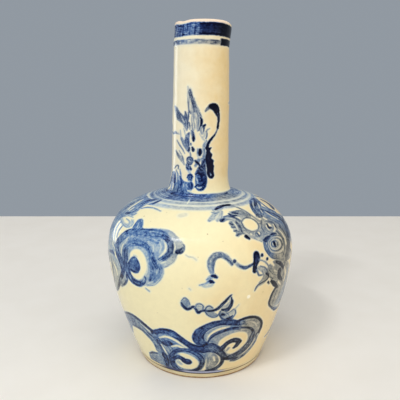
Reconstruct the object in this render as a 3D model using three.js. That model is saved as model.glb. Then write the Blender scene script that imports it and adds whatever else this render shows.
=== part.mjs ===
import * as THREE from 'three';

// A blue and white bottle vase. The potter throws it on the wheel in sections, shaves and scores
// their edges, and lutes them together with slip before the firing joins them for good.
// Millimetres, +Z up, standing on Z = 0 with its axis on Z. The front of the vase faces -Y.

// Heights above the table
const vaseHeight = 220;
const crownHeight = 113.5;
const bellyHeight = 75;
const footHeight = 5.6;

// Outside radii
const bellyRadius = 62.5;
const footTopRadius = 45;
const footRadius = 43.3;
const footInnerRadius = 37.5;
const neckFootRadius = 22;
const neckRadius = 18.6;
const neckTopRadius = 17.45;

// How full the walls are: the lengths of the curve handles at their ends
const lowerWallRise = 25;
const lowerWallLean = 10;
const lowerBellyFullness = 15;
const upperBellyFullness = 26;
const crownFullness = 20;
const crownDrop = 3.5;

// Walls and floor
const bellyWall = 4.6;
const shoulderWall = 4.2;
const footWall = 6.4;
const floorThickness = 6.5;
const floorCorner = 9;
const neckWall = 3.6;
const rimWall = 3.1;
const baseDome = 0.8;

// Neck and lip
const flareHeight = 16.5;
const flareTurn = 2;
const flareSpread = 2.5;
const lipHeight = 12.5;
const lipSwell = 0.2;
const lipStep = 3;
const rimRound = 1;

// Luted joints: shaved seats, and the slip that is squeezed out inside
const bellySeatRise = 1.4;
const neckSeatDrop = 1;
const shoulderOpeningRadius = 15.5;
const slipReach = 3.6;
const slipThickness = 1.1;
const grooveDepth = 0.7;
const grooveHalfHeight = 0.5;
const footEdge = 0.6;

// Marks of the hand: finger ridges inside, the axis that wanders, and the rim's uneven cut
const ridgeDepth = 0.22;
const footOffset = -0.3;
const shoulderOffset = -1.2;
const neckFootOffset = -0.2;
const neckTopOffset = 0.5;
const rimOffset = 1.8;
const rimCuts = [
  { at: 0, width: 28, depth: 1.3 },
  { at: -135, width: 14, depth: 0.7 },
  { at: 110, width: 30, depth: 0.6 },
];
const rimCutReach = 15;

const turnSteps = 64;
const point = (radius, height) => new THREE.Vector2(radius, height);

// Walls of the body as seen in section, from the foot to the belly and from there to the crown
const lowerWall = new THREE.CubicBezierCurve(
  new THREE.Vector2(footTopRadius, footHeight + grooveHalfHeight),
  new THREE.Vector2(footTopRadius + lowerWallLean, footHeight + lowerWallRise),
  new THREE.Vector2(bellyRadius, bellyHeight - lowerBellyFullness),
  new THREE.Vector2(bellyRadius, bellyHeight),
);
const upperWall = new THREE.CubicBezierCurve(
  new THREE.Vector2(bellyRadius, bellyHeight),
  new THREE.Vector2(bellyRadius, bellyHeight + upperBellyFullness),
  new THREE.Vector2(neckFootRadius + crownFullness, crownHeight - crownDrop),
  new THREE.Vector2(neckFootRadius, crownHeight),
);

// A point on the inner face of a wall: the outer point moved inwards, square to the curve
function innerPoint(curve, t, wallAtStart, wallAtEnd, ridge = 0) {
  const outer = curve.getPoint(t);
  const along = curve.getTangent(t);
  const wall = THREE.MathUtils.lerp(wallAtStart, wallAtEnd, t) + ridge;
  return point(outer.x - along.y * wall, outer.y + along.x * wall);
}

// The inner point that lies at a given height, found by halving the span of the curve
function innerPointAtHeight(curve, height, wallAtStart, wallAtEnd) {
  let low = 0;
  let high = 1;
  for (let step = 0; step < 40; step += 1) {
    const middle = (low + high) / 2;
    const inner = innerPoint(curve, middle, wallAtStart, wallAtEnd);
    if (inner.y < height) low = middle;
    else high = middle;
  }
  return { t: low, place: innerPoint(curve, low, wallAtStart, wallAtEnd) };
}

// Inner points between two places on a wall, alternately in and out as the fingers leave them
function ridgedPoints(curve, from, to, count, wallAtStart, wallAtEnd) {
  const places = [];
  for (let index = 1; index <= count; index += 1) {
    const t = THREE.MathUtils.lerp(from, to, index / (count + 1));
    const ridge = index % 2 ? ridgeDepth : -ridgeDepth;
    places.push(innerPoint(curve, t, wallAtStart, wallAtEnd, ridge));
  }
  return places;
}

// The wheel-thrown axis wanders a little from the true vertical, eased between these heights
const axisPath = [
  [0, footOffset],
  [bellyHeight, 0],
  [crownHeight - 5, shoulderOffset],
  [crownHeight + flareHeight + 4, neckFootOffset],
  [vaseHeight - lipHeight - lipStep, neckTopOffset],
  [vaseHeight - 2, rimOffset],
];
function axisOffset(height) {
  const last = axisPath.length - 1;
  if (height >= axisPath[last][0]) return axisPath[last][1];
  const next = Math.max(1, axisPath.findIndex(([knot]) => knot > height));
  const [fromHeight, fromOffset] = axisPath[next - 1];
  const [toHeight, toOffset] = axisPath[next];
  const share = THREE.MathUtils.smoothstep(height, fromHeight, toHeight);
  return THREE.MathUtils.lerp(fromOffset, toOffset, share);
}

// How far the rim is cut down at an angle round the axis, in degrees from +X
function rimCut(angle) {
  let depth = 0;
  for (const cut of rimCuts) {
    const away = THREE.MathUtils.euclideanModulo(angle - cut.at + 180, 360) - 180;
    depth += cut.depth * Math.exp(-((away / cut.width) ** 2));
  }
  return depth;
}

// A section turned round the axis, then given the wandering axis and the uneven rim
function thrown(section) {
  const geometry = new THREE.LatheGeometry(section, turnSteps);
  geometry.rotateX(Math.PI / 2);
  const places = geometry.attributes.position;
  for (let index = 0; index < places.count; index += 1) {
    const x = places.getX(index);
    const y = places.getY(index);
    const height = places.getZ(index);
    const nearRim = THREE.MathUtils.smoothstep(height, vaseHeight - rimCutReach, vaseHeight);
    const angle = THREE.MathUtils.radToDeg(Math.atan2(y, x));
    places.setXYZ(index, x + axisOffset(height), y, height - rimCut(angle) * nearRim);
  }
  geometry.computeVertexNormals();
  return geometry;
}

const glaze = new THREE.MeshStandardMaterial({ color: 0xece0bc, roughness: 0.16, metalness: 0 });
const footGlaze = new THREE.MeshStandardMaterial({ color: 0xdccfa8, roughness: 0.3, metalness: 0 });
const driedSlip = new THREE.MeshStandardMaterial({ color: 0xd8c8a4, roughness: 0.7, metalness: 0 });

function piece(name, section, material) {
  const mesh = new THREE.Mesh(thrown(section), material);
  mesh.name = name;
  return mesh;
}

// Seats that two pieces share
const footSeatOuter = point(footTopRadius - grooveDepth, footHeight);
const footSeatInner = point(footInnerRadius, footHeight);
const bellySeatOuter = point(bellyRadius, bellyHeight);
const bellyInnerRadius = bellyRadius - bellyWall;
const bellySeatInner = point(bellyInnerRadius, bellyHeight + bellySeatRise);
const neckSeatOuter = point(neckFootRadius, crownHeight);
const neckSeatInner = point(shoulderOpeningRadius, crownHeight - neckSeatDrop);

// Where the squeezed slip ends on the inner walls
const lowerSlipEnd = innerPointAtHeight(lowerWall, bellyHeight - slipReach, footWall, bellyWall);
const upperSlipHeight = bellyHeight + bellySeatRise + slipReach;
const upperSlipEnd = innerPointAtHeight(upperWall, upperSlipHeight, bellyWall, shoulderWall);
const neckSlipEnd = point(shoulderOpeningRadius - 0.3, crownHeight + slipReach);

// Foot ring: turned with a flat standing face, a rounded outer edge and a groove along its top
function makeFootRing() {
  const section = [
    point(footInnerRadius + footEdge, 0),
    point(footRadius - footEdge, 0),
    point(footRadius, footEdge),
    point(footTopRadius - 0.15, footHeight - grooveHalfHeight),
    footSeatOuter,
    footSeatInner,
    point(footInnerRadius, footEdge),
    point(footInnerRadius + footEdge, 0),
  ];
  return piece('foot_ring', section, footGlaze);
}

// Lower body: the floor and the wall up to the belly, thrown as a bowl
function makeLowerBody() {
  const floorTop = footHeight + floorThickness;
  const wallStart = innerPointAtHeight(lowerWall, floorTop + floorCorner, footWall, bellyWall);
  const corner = new THREE.QuadraticBezierCurve(
    wallStart.place,
    new THREE.Vector2(wallStart.place.x - floorCorner / 3, floorTop),
    new THREE.Vector2(wallStart.place.x - floorCorner * 1.4, floorTop),
  );
  const inside = ridgedPoints(
    lowerWall, wallStart.t, lowerSlipEnd.t, 12, footWall, bellyWall);
  const section = [
    point(0, footHeight + baseDome),
    footSeatInner,
    footSeatOuter,
    ...lowerWall.getPoints(10),
    bellySeatInner,
    point(bellyInnerRadius, bellyHeight),
    lowerSlipEnd.place,
    ...inside.reverse(),
    ...corner.getPoints(3),
    point(0, floorTop),
  ];
  return piece('lower_body', section, glaze);
}

// Belly slip: the collar of slip squeezed out of the joint and smoothed over inside
function makeBellySlip() {
  const section = [
    lowerSlipEnd.place,
    point(bellyInnerRadius, bellyHeight),
    bellySeatInner,
    upperSlipEnd.place,
    point(bellyInnerRadius - slipThickness, bellySeatInner.y + slipReach / 4),
    point(bellyInnerRadius - slipThickness, bellyHeight - slipReach / 3),
    lowerSlipEnd.place,
  ];
  return piece('belly_slip', section, driedSlip);
}

// Upper body: the high round shoulder, drawn in to the opening that the neck stands over
function makeUpperBody() {
  const crownInner = innerPoint(upperWall, 1, bellyWall, shoulderWall);
  const inside = ridgedPoints(upperWall, upperSlipEnd.t, 1, 11, bellyWall, shoulderWall);
  const section = [
    ...upperWall.getPoints(12),
    neckSeatInner,
    point(shoulderOpeningRadius, crownInner.y + neckSeatDrop / 2),
    crownInner,
    ...inside.reverse(),
    upperSlipEnd.place,
    bellySeatInner,
    bellySeatOuter,
  ];
  return piece('upper_body', section, glaze);
}

// Neck slip: the bead of slip left inside, where the neck stands on the shoulder
function makeNeckSlip() {
  const openingFoot = innerPoint(upperWall, 1, bellyWall, shoulderWall).y + neckSeatDrop / 2;
  const section = [
    point(shoulderOpeningRadius, openingFoot),
    neckSeatInner,
    neckSlipEnd,
    point(shoulderOpeningRadius - slipThickness, neckSeatInner.y + slipReach / 3),
    point(shoulderOpeningRadius - slipThickness, neckSeatInner.y - slipReach / 4),
    point(shoulderOpeningRadius, openingFoot),
  ];
  return piece('neck_slip', section, driedSlip);
}

// Neck: a tall tube with a flared foot, a faint swell at the lip and a cut, rounded rim
function makeNeck() {
  const flareTop = crownHeight + flareHeight;
  const lipFoot = vaseHeight - lipHeight;
  const lipRadius = neckTopRadius + lipSwell;
  const flare = new THREE.CubicBezierCurve(
    neckSeatOuter,
    new THREE.Vector2(neckFootRadius - flareTurn, crownHeight + flareSpread),
    new THREE.Vector2(neckRadius, flareTop - flareHeight / 2),
    new THREE.Vector2(neckRadius, flareTop),
  );
  const stem = new THREE.QuadraticBezierCurve(
    new THREE.Vector2(neckRadius, flareTop),
    new THREE.Vector2(neckRadius, (flareTop + lipFoot) / 2),
    new THREE.Vector2(neckTopRadius, lipFoot - lipStep),
  );
  const boreTop = point(neckTopRadius - rimWall, vaseHeight - rimRound * 1.5);
  const boreFoot = neckSlipEnd;
  const bore = [];
  const ridges = 18;
  for (let index = 1; index <= ridges; index += 1) {
    const share = index / (ridges + 1);
    const ridge = index % 2 ? ridgeDepth : -ridgeDepth;
    const height = THREE.MathUtils.lerp(boreTop.y, boreFoot.y, share);
    const wall = THREE.MathUtils.lerp(rimWall, neckWall, share);
    const outside = THREE.MathUtils.lerp(neckTopRadius, neckRadius, share);
    bore.push(point(outside - wall + ridge, height));
  }
  const section = [
    ...flare.getPoints(5),
    ...stem.getPoints(4).slice(1),
    point(lipRadius, lipFoot),
    point(lipRadius, vaseHeight - rimRound * 1.6),
    point(lipRadius - rimRound * 0.4, vaseHeight - rimRound * 0.4),
    point(lipRadius - rimRound * 1.2, vaseHeight),
    point(boreTop.x + rimRound * 0.7, vaseHeight - rimRound * 0.2),
    boreTop,
    ...bore,
    neckSlipEnd,
    neckSeatInner,
    neckSeatOuter,
  ];
  return piece('neck', section, glaze);
}

const vase = new THREE.Group();
vase.add(
  makeFootRing(),
  makeLowerBody(),
  makeBellySlip(),
  makeUpperBody(),
  makeNeckSlip(),
  makeNeck(),
);

export default vase;
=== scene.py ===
"""A hand-thrown bottle vase in cream glaze with cobalt painting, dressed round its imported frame."""
import math

import bmesh
import bpy
import mathutils
import numpy as np
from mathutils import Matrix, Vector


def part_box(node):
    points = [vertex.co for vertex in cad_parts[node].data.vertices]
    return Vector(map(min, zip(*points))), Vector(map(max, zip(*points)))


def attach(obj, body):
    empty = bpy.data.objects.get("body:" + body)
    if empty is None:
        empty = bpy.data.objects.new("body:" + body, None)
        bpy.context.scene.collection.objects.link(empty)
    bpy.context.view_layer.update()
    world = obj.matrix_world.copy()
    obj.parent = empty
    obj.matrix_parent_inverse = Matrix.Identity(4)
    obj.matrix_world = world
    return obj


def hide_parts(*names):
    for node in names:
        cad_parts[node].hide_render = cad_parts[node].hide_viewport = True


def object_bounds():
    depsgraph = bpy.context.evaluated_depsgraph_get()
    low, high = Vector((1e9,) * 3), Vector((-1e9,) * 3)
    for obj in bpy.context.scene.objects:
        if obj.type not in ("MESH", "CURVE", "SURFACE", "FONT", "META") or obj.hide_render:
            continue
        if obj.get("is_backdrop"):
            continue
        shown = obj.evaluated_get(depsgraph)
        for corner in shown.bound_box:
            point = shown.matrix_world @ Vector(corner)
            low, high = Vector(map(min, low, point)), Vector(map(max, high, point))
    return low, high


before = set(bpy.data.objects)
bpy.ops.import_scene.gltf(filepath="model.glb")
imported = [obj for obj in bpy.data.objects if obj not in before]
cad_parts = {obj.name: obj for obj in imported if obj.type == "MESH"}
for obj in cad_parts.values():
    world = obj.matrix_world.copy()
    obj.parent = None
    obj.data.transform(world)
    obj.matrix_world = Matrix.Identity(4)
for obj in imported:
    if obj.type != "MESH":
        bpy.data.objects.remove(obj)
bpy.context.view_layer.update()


# The view. The camera stands in front of the vase, a little lower than its rim, and looks down by
# a seventh of a right angle. The painting on the front is laid out in this view, in its pixels.
view_side = 0.0002
view_distance = 0.310
view_height = 0.17724
view_tilt = math.radians(12.83)
picture_pixels = 400
focal_pixels = 470

camera = bpy.data.objects.new("camera", bpy.data.cameras.new("camera"))
bpy.context.scene.collection.objects.link(camera)
camera.location = (view_side, -view_distance, view_height)
camera.rotation_euler = (math.pi / 2 - view_tilt, 0, 0)
camera.data.sensor_width = 36
camera.data.lens = camera.data.sensor_width * focal_pixels / picture_pixels
camera.data.clip_start = 0.01
bpy.context.scene.camera = camera


# The foot ring: a low ring of the same clay, turned on the wheel with a flat standing face and
# luted under the floor. The glaze is wiped off its lower edge, so the bare clay fires brown there,
# and pools in the groove above it.
foot_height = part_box("foot_ring")[1].z
foot_inner_radius = 0.0375
foot_radius = 0.0433
foot_top_radius = 0.045
foot_edge = 0.0006
groove_depth = 0.0007
groove_half_height = 0.0005
groove_height = 0.0043

# Marks of the hand, which all the thrown pieces share so that their seams meet: how far the axis
# stands off the true one at some heights, and where, how wide and how deep the rim is cut down.
belly_height = 0.075
crown_height = 0.1135
flare_height = 0.0165
lip_height = 0.0125
lip_step = 0.003
vase_height = 0.22
flare_top = crown_height + flare_height
lip_foot = vase_height - lip_height
axis_path = [
    (0, 0.0008),
    (belly_height, 0.0003),
    (crown_height - 0.005, -0.0007),
    (flare_top + 0.004, 0.0003),
    (lip_foot - lip_step, 0.0012),
    (vase_height - 0.002, 0.0023),
]
rim_cuts = [(90, 28, 0.0013), (-45, 14, 0.0007), (200, 30, 0.0006)]
rim_cut_reach = 0.015


def columns_round(front_step, back_count):
    """Angles from the front, in degrees, of the columns of points round a piece: a front_step
    apart on the front half, and back_count evenly over the back half."""
    front = np.arange(-90, 90, front_step)
    return np.concatenate([front, np.linspace(90, 270, back_count, endpoint=False)])


body_columns = columns_round(0.475, 158)
neck_columns = columns_round(1.0, 90)
plain_columns = np.arange(-180, 180, 2.0)


def smooth_step(value, start, end):
    """0 at start and 1 at end, with three s squared less two s cubed between them."""
    share = np.clip((value - start) / (end - start), 0, 1)
    return share * share * (3 - 2 * share)


def axis_offset(height):
    """How far the thrown axis stands to the right of the true one, eased from knot to knot."""
    knots, offsets = np.array(axis_path).T
    place = np.clip(np.searchsorted(knots, height, side="right"), 1, len(knots) - 1)
    share = smooth_step(height, knots[place - 1], knots[place])
    return offsets[place - 1] + share * (offsets[place] - offsets[place - 1])


def rim_cut(degrees):
    """Depth cut off the rim at an angle from the front: the sum of a bell curve for each cut."""
    away = [(degrees - at + 180) % 360 - 180 for at, _, _ in rim_cuts]
    return sum(depth * np.exp(-((a / width) ** 2)) for a, (_, width, depth) in zip(away, rim_cuts))


def hand_waves(degrees, height):
    """How far the wall swells out, in metres: a slow and a fine wave up it, which drift as they go
    round, and the oval and three-sided swell of the ring itself."""
    slow_swell, fine_swell, oval_swell, three_sided_swell = 0.00010, 0.00003, 0.00012, 0.00006
    turn, up = np.radians(degrees), height * 1000
    slow = slow_swell * np.sin(up / 5.3 + 0.6 * np.sin(turn + 0.4)) * np.cos(turn + up / 31)
    fine = fine_swell * np.sin(up / 1.9 + 1.3 * np.sin(2 * turn))
    oval = oval_swell * np.sin(2 * turn + up / 23)
    return slow + fine + oval + three_sided_swell * np.sin(3 * turn - up / 17)


def on_wall(radius, height, degrees, waves=0.0):
    """Points of a thrown wall: radius and height carried round the wandering axis by an angle from
    the front (-Y) towards the right (+X), with the waves of the hand and the cuts of the rim."""
    turn = np.radians(degrees)
    radius = radius + waves * hand_waves(degrees, height)
    near_rim = smooth_step(height, vase_height - rim_cut_reach, vase_height)
    x = radius * np.sin(turn) + axis_offset(height)
    y = -radius * np.cos(turn)
    z = height - rim_cut(degrees) * near_rim
    return np.stack(np.broadcast_arrays(x, y, z), axis=-1)


def thrown_piece(name, section, columns, outer_rows=0, marks=None):
    """A piece turned from its section, (radius, height) rows in order up the outside and down the
    inside: point (row, column) is on_wall at that row and angle, and faces join neighbours. A
    section that starts and ends on the axis is closed by fans, and any other is joined end to
    start. The first outer_rows rows get outer_share of the map's height, the rest shares what is
    left by length, and columns share its width evenly."""
    outer_share, waveless_radius, sharp_edge = 0.75, 0.01, math.radians(38)
    section = np.asarray(section, float)
    rows, around = len(section), len(columns)
    radius = section[:, :1]
    waves = np.minimum(1, radius / waveless_radius)
    grid = on_wall(radius, section[:, 1:], columns[None, :], waves)
    poles = section[0, 0] == 0
    index = np.arange(rows * around).reshape(rows, around)
    right = np.roll(index, -1, axis=1)
    lower = slice(0, rows - 1) if poles else slice(0, rows)
    upper = np.roll(np.arange(rows), -1)[lower]
    corners = (index[lower], right[lower], right[upper], index[upper])
    quads = np.stack(corners, axis=-1).reshape(-1, 4)

    lengths = np.hypot(*np.diff(np.vstack([section, section[:1]]), axis=0).T)
    if poles:
        lengths[-1] = 0
    share = lengths / lengths.sum()
    if outer_rows:
        outside = np.arange(rows) < outer_rows - 1
        outer, inner = share / share[outside].sum(), share / share[~outside].sum()
        share = np.where(outside, outer_share * outer, (1 - outer_share) * inner)
    up = np.append(0, np.cumsum(share))
    left_edge = np.arange(around) / around
    right_edge = left_edge + 1 / around
    u = np.stack([left_edge, right_edge, right_edge, left_edge], axis=-1)[None]
    v = np.stack([up[:-1][lower], up[:-1][lower], up[1:][lower], up[1:][lower]], axis=-1)[:, None]
    uv = np.stack(np.broadcast_arrays(u, v), axis=-1).reshape(-1, 4, 2)

    mesh = bpy.data.meshes.new(name)
    mesh.vertices.add(rows * around)
    mesh.vertices.foreach_set("co", grid.astype(np.float32).ravel())
    mesh.loops.add(quads.size)
    mesh.loops.foreach_set("vertex_index", quads.astype(np.int32).ravel())
    mesh.polygons.add(len(quads))
    mesh.polygons.foreach_set("loop_start", np.arange(0, quads.size, 4, dtype=np.int32))
    layer = mesh.uv_layers.new(name="OFBake")
    layer.uv.foreach_set("vector", uv.astype(np.float32).ravel())
    for key, values in (marks or {}).items():
        attribute = mesh.attributes.new(key, "FLOAT", "POINT")
        full = np.full(rows * around, float(values[0]))
        full[: len(values[1])] = values[1]
        attribute.data.foreach_set("value", full.astype(np.float32))
    mesh.update(calc_edges=True)
    if poles:
        close_poles(mesh)
    mesh.shade_smooth()
    mesh.set_sharp_from_angle(angle=sharp_edge)
    piece = bpy.data.objects.new(name, mesh)
    bpy.context.scene.collection.objects.link(piece)
    return piece


def close_poles(mesh):
    """Merges the points that meet on the axis, which turns each ring of squares there to a fan."""
    meeting = 1e-7
    work = bmesh.new()
    work.from_mesh(mesh)
    bmesh.ops.remove_doubles(work, verts=work.verts, dist=meeting)
    work.to_mesh(mesh)
    work.free()


def fired(red, green, blue):
    """A colour as seen, 0 to 255 in each part, in the linear values that a material takes: the
    standard screen curve undone, which is straight below 11 and a power of 2.4 above."""
    parts = (red / 255, green / 255, blue / 255)
    return tuple(c / 12.92 if c < 11 / 255 else ((c + 0.055) / 1.055) ** 2.4 for c in parts)


class Shade:
    """One output in a material's node tree. Arithmetic on it adds Math nodes."""

    tree = None

    def __init__(self, socket):
        """Keeps the node's output socket."""
        self.socket = socket

    @classmethod
    def node(cls, kind, inputs, output=0, **settings):
        """Any node: its type, its settings, and its inputs, each a number, a colour or a Shade."""
        made = cls.tree.nodes.new(kind)
        for key, value in settings.items():
            setattr(made, key, value)
        for key, value in inputs.items():
            if isinstance(value, Shade):
                cls.tree.links.new(value.socket, made.inputs[key])
            elif isinstance(value, tuple) and len(value) == 3 and made.inputs[key].type == "RGBA":
                made.inputs[key].default_value = (*value, 1)
            else:
                made.inputs[key].default_value = value
        return cls(made.outputs[output])

    def calc(self, operation, *others):
        """A Math node on this and up to two more."""
        return Shade.node("ShaderNodeMath", dict(enumerate((self, *others))), operation=operation)

    def __add__(self, other):
        """This plus the other."""
        return self.calc("ADD", other)

    def __sub__(self, other):
        """This less the other."""
        return self.calc("SUBTRACT", other)

    def __mul__(self, other):
        """This times the other."""
        return self.calc("MULTIPLY", other)

    def rise(self, start, end, low=0.0, high=1.0):
        """Eased from low at start to high at end, as smooth_step eases."""
        inputs = {0: self, 1: start, 2: end, 3: low, 4: high}
        return Shade.node("ShaderNodeMapRange", inputs, interpolation_type="SMOOTHSTEP")

    def mix(self, start, end):
        """The colour between start and end at this share."""
        return Shade.node("ShaderNodeMix", {0: self, 6: start, 7: end}, output=2, data_type="RGBA")

    def times(self, other):
        """This colour multiplied by another."""
        inputs = {0: 1.0, 6: self, 7: other}
        settings = {"data_type": "RGBA", "blend_type": "MULTIPLY"}
        return Shade.node("ShaderNodeMix", inputs, output=2, **settings)


def attribute(name):
    """A number kept at the points of the mesh."""
    return Shade.node("ShaderNodeAttribute", {}, output=2, attribute_name=name)


def place():
    """The place on the object, and its parts along x, y and z."""
    here = Shade.node("ShaderNodeTexCoord", {}, output=3)
    return here, *(Shade.node("ShaderNodeSeparateXYZ", {0: here}, output=k) for k in range(3))


def cloudy(where, scale, detail=2.0, roughness=0.5):
    """Noise about a half, finer with scale."""
    inputs = {"Vector": where, "Scale": scale, "Detail": detail, "Roughness": roughness}
    return Shade.node("ShaderNodeTexNoise", inputs)


def new_material(name):
    """An empty node tree for Shade to fill, with its output node."""
    material = bpy.data.materials.new(name)
    material.use_nodes = True
    material.node_tree.nodes.clear()
    Shade.tree = material.node_tree
    return material, material.node_tree.nodes.new("ShaderNodeOutputMaterial")


def surface(end, **inputs):
    """A Principled shader into the material's output."""
    named = {key.replace("_", " "): value for key, value in inputs.items()}
    shader = Shade.node("ShaderNodeBsdfPrincipled", named)
    Shade.tree.links.new(shader.socket, end.inputs["Surface"])


def relief(height, strength, distance):
    """The normal that a height gives, at a share of its strength, over a distance in metres."""
    inputs = {"Strength": strength, "Distance": distance, "Height": height}
    return Shade.node("ShaderNodeBump", inputs)


def in_front(x, y, left, right):
    """1 on the front between two places across, 0 behind and beyond them: a rise towards the
    viewer, times one in from the left, times one in from the right."""
    return y.rise(0.02, -0.03) * x.rise(*left) * x.rise(*right)


# How far the wall stands inside the ring's top radius, below the groove, beside its floor and above
below_groove, beside_groove, above_groove = 0.0006, 0.0005, 0.0003
foot_section = [
    (foot_inner_radius + foot_edge, 0),
    (foot_radius - foot_edge, 0),
    (foot_radius - foot_edge * 0.3, foot_edge * 0.3),
    (foot_radius, foot_edge),
    (foot_radius * 0.6 + foot_top_radius * 0.4, groove_height - groove_half_height * 3),
    (foot_top_radius - below_groove, groove_height - groove_half_height),
    (foot_top_radius - beside_groove - groove_depth, groove_height),
    (foot_top_radius - above_groove, groove_height + groove_half_height),
    (foot_top_radius, foot_height + groove_half_height),
    (foot_top_radius - groove_depth, foot_height),
    (foot_inner_radius, foot_height),
    (foot_inner_radius, foot_edge),
]
foot_ring = thrown_piece("foot_ring_glazed", foot_section, plain_columns)

foot_glaze, end = new_material("foot_glaze")
here, x, y, z = place()
uneven = cloudy(here, 90, 3) - 0.5
wiped_edge, bottom_edge, brushed_edge = (0.0010, 0.0015), (0.0, 0.0004), (0.0045, 0.0048)
pale_clay, brown_clay, bottom_clay = fired(178, 142, 92), fired(134, 100, 58), fired(108, 84, 50)
pale_foot, tan_foot = fired(222, 208, 168), fired(210, 192, 150)
glazed = (z + uneven * 0.0008).rise(*wiped_edge)
clay = cloudy(here, 320, 3).rise(0.35, 0.65).mix(pale_clay, brown_clay)
# The clay is darker still in the last 0.4 mm at the very bottom
clay = z.rise(*bottom_edge).mix(bottom_clay, clay)
cream = cloudy(here, 60, 2).rise(0.35, 0.65).mix(pale_foot, tan_foot)
front = in_front(x, y, left=(-0.034, -0.020), right=(0.024, 0.010))
brushed = in_front(x, y, left=(-0.028, -0.020), right=(0.018, 0.012))
brushed = (z + uneven * 0.0004).rise(*brushed_edge) * brushed
navy_line, lavender_line = fired(60, 68, 108), fired(158, 162, 188)
cream = brushed.mix(cream, x.rise(-0.013, -0.008).mix(navy_line, lavender_line))
into_groove = z.rise(groove_height - 0.0006, groove_height - 0.0002)
out_of_groove = z.rise(groove_height + 0.0005, groove_height + 0.0002)
pooled = into_groove * out_of_groove * (front * 0.2 + 0.78)
brown_pool, navy_pool = fired(96, 78, 56), fired(24, 26, 50)
cream = pooled.mix(cream, front.mix(brown_pool, navy_pool))
dull_clay, glossy_glaze = 0.75, 0.24
surface(
    end,
    Base_Color=glazed.mix(clay, cream),
    Roughness=glazed.rise(0, 1, dull_clay, glossy_glaze),
    Normal=relief(cloudy(here, 700, 3), 0.35, 0.0003),
)
foot_ring.data.materials.append(foot_glaze)
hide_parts("foot_ring")
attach(foot_ring, "root")


# The body: two thrown bowls, the lower with the floor and the upper drawn in to the crown, luted
# rim to rim at the belly. The seam is smoothed over outside and the whole is glazed in one cream
# coat over the painting.
body_low, body_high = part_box("lower_body")
belly_radius = (body_high.x - body_low.x) / 2
neck_foot_radius = 0.022
neck_radius = 0.0186
neck_top_radius = 0.01745
lip_swell = 0.0002
belly_wall, shoulder_wall, foot_wall = 0.0046, 0.0042, 0.0064
belly_seat_rise = 0.0014
neck_seat_drop = 0.001
shoulder_opening_radius = 0.0155
slip_reach = 0.0036
floor_top = foot_height + 0.0065
base_dome = 0.0008
floor_corner = 0.009
ridge_depth = 0.00022
row_height, neck_row_height = 0.00048, 0.00036


def bezier(corners, t):
    """Points of a curve: its handle points weighted by the Bernstein polynomials of t."""
    t = np.asarray(t, float)[:, None]
    order = len(corners) - 1
    weights = [math.comb(order, k) * t**k * (1 - t) ** (order - k) for k in range(order + 1)]
    return sum(weight * np.array(corner) for weight, corner in zip(weights, corners))


# How full the wall is: how far the handles of its curves stand out, up or down from their ends
foot_spread, foot_rise = 0.010, 0.025
fullness_below, fullness_above = 0.015, 0.026
crown_spread, crown_drop = 0.020, 0.0035
flare_lean, flare_rise = 0.002, 0.0025
lower_handles = [
    (foot_top_radius, foot_height + groove_half_height),
    (foot_top_radius + foot_spread, foot_height + foot_rise),
    (belly_radius, belly_height - fullness_below),
    (belly_radius, belly_height),
]
upper_handles = [
    (belly_radius, belly_height),
    (belly_radius, belly_height + fullness_above),
    (neck_foot_radius + crown_spread, crown_height - crown_drop),
    (neck_foot_radius, crown_height),
]
flare_handles = [
    (neck_foot_radius, crown_height),
    (neck_foot_radius - flare_lean, crown_height + flare_rise),
    (neck_radius, flare_top - flare_height / 2),
    (neck_radius, flare_top),
]
stem_handles = [
    (neck_radius, flare_top),
    (neck_radius, (flare_top + lip_foot) / 2),
    (neck_top_radius, lip_foot - lip_step),
]


def length_along(path):
    """The length of a path up to each of its points: the sum of its steps."""
    return np.append(0, np.cumsum(np.hypot(*np.diff(path, axis=0).T)))


def even_rows(handles, spacing):
    """Rows of a curve at an even spacing along it, from its first handle to its last."""
    fine = bezier(handles, np.linspace(0, 1, 600))
    length = length_along(fine)
    at = np.linspace(0, length[-1], int(round(length[-1] / spacing)) + 1)
    return np.stack([np.interp(at, length, part) for part in fine.T], axis=-1)


lower_rows = even_rows(lower_handles, row_height)
upper_rows = even_rows(upper_handles, row_height)
flare_rows = even_rows(flare_handles, neck_row_height)
stem_rows = even_rows(stem_handles, neck_row_height)
lip_radius = neck_top_radius + lip_swell
outline = np.vstack(
    [
        [(foot_radius, 0.0), (foot_top_radius, foot_height)],
        lower_rows,
        upper_rows[1:],
        flare_rows[1:],
        stem_rows[1:],
        [(lip_radius, lip_foot), (lip_radius, vase_height)],
    ]
)
outline_length = length_along(outline)


def inner_face(handles, t, wall):
    """The inner face at shares of a curve: the curve moved inwards by the wall, square to the way
    that it runs there, which comes from the differences of closely spaced points."""
    fine = np.linspace(0, 1, 401)
    way = np.gradient(bezier(handles, fine), axis=0)
    way /= np.linalg.norm(way, axis=1)[:, None]
    out, up = (np.interp(t, fine, part) for part in way.T)
    outer = bezier(handles, t)
    return np.stack([outer[:, 0] - up * wall, outer[:, 1] + out * wall], axis=-1)


def inner_rows(handles, start, end, count, wall_at_start, wall_at_end):
    """Rows of a wall's inner face from share start to share end: the wall eases evenly from one
    thickness to the other, and the fingers leave a ridge every fourth row."""
    t = np.linspace(start, end, count)
    ridges = ridge_depth * np.sin(np.arange(count) * math.pi / 2)
    return inner_face(handles, t, wall_at_start + (wall_at_end - wall_at_start) * t + ridges)


# The painting is cobalt ground in water, laid with a pointed brush on the raw clay before glazing:
# outlines are loaded strokes, the clouds are filled with thinned washes, and details are scratched
# clear again. Points are in pixels of the view, or in degrees round the vase and millimetres up it.
# In millimetres: the samples' spacing along a stroke, how far its distances are kept, how much the
# wet edge widens it, where its tone has replaced what was under it, how far out its bristles count,
# and how far they are shifted from one stroke to the next.
stroke_spacing = 0.35
field_reach = 3.0
wet_edge = 0.16
tone_inset = 0.7
bristle_reach = 0.4
bristle_shift = 37


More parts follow.
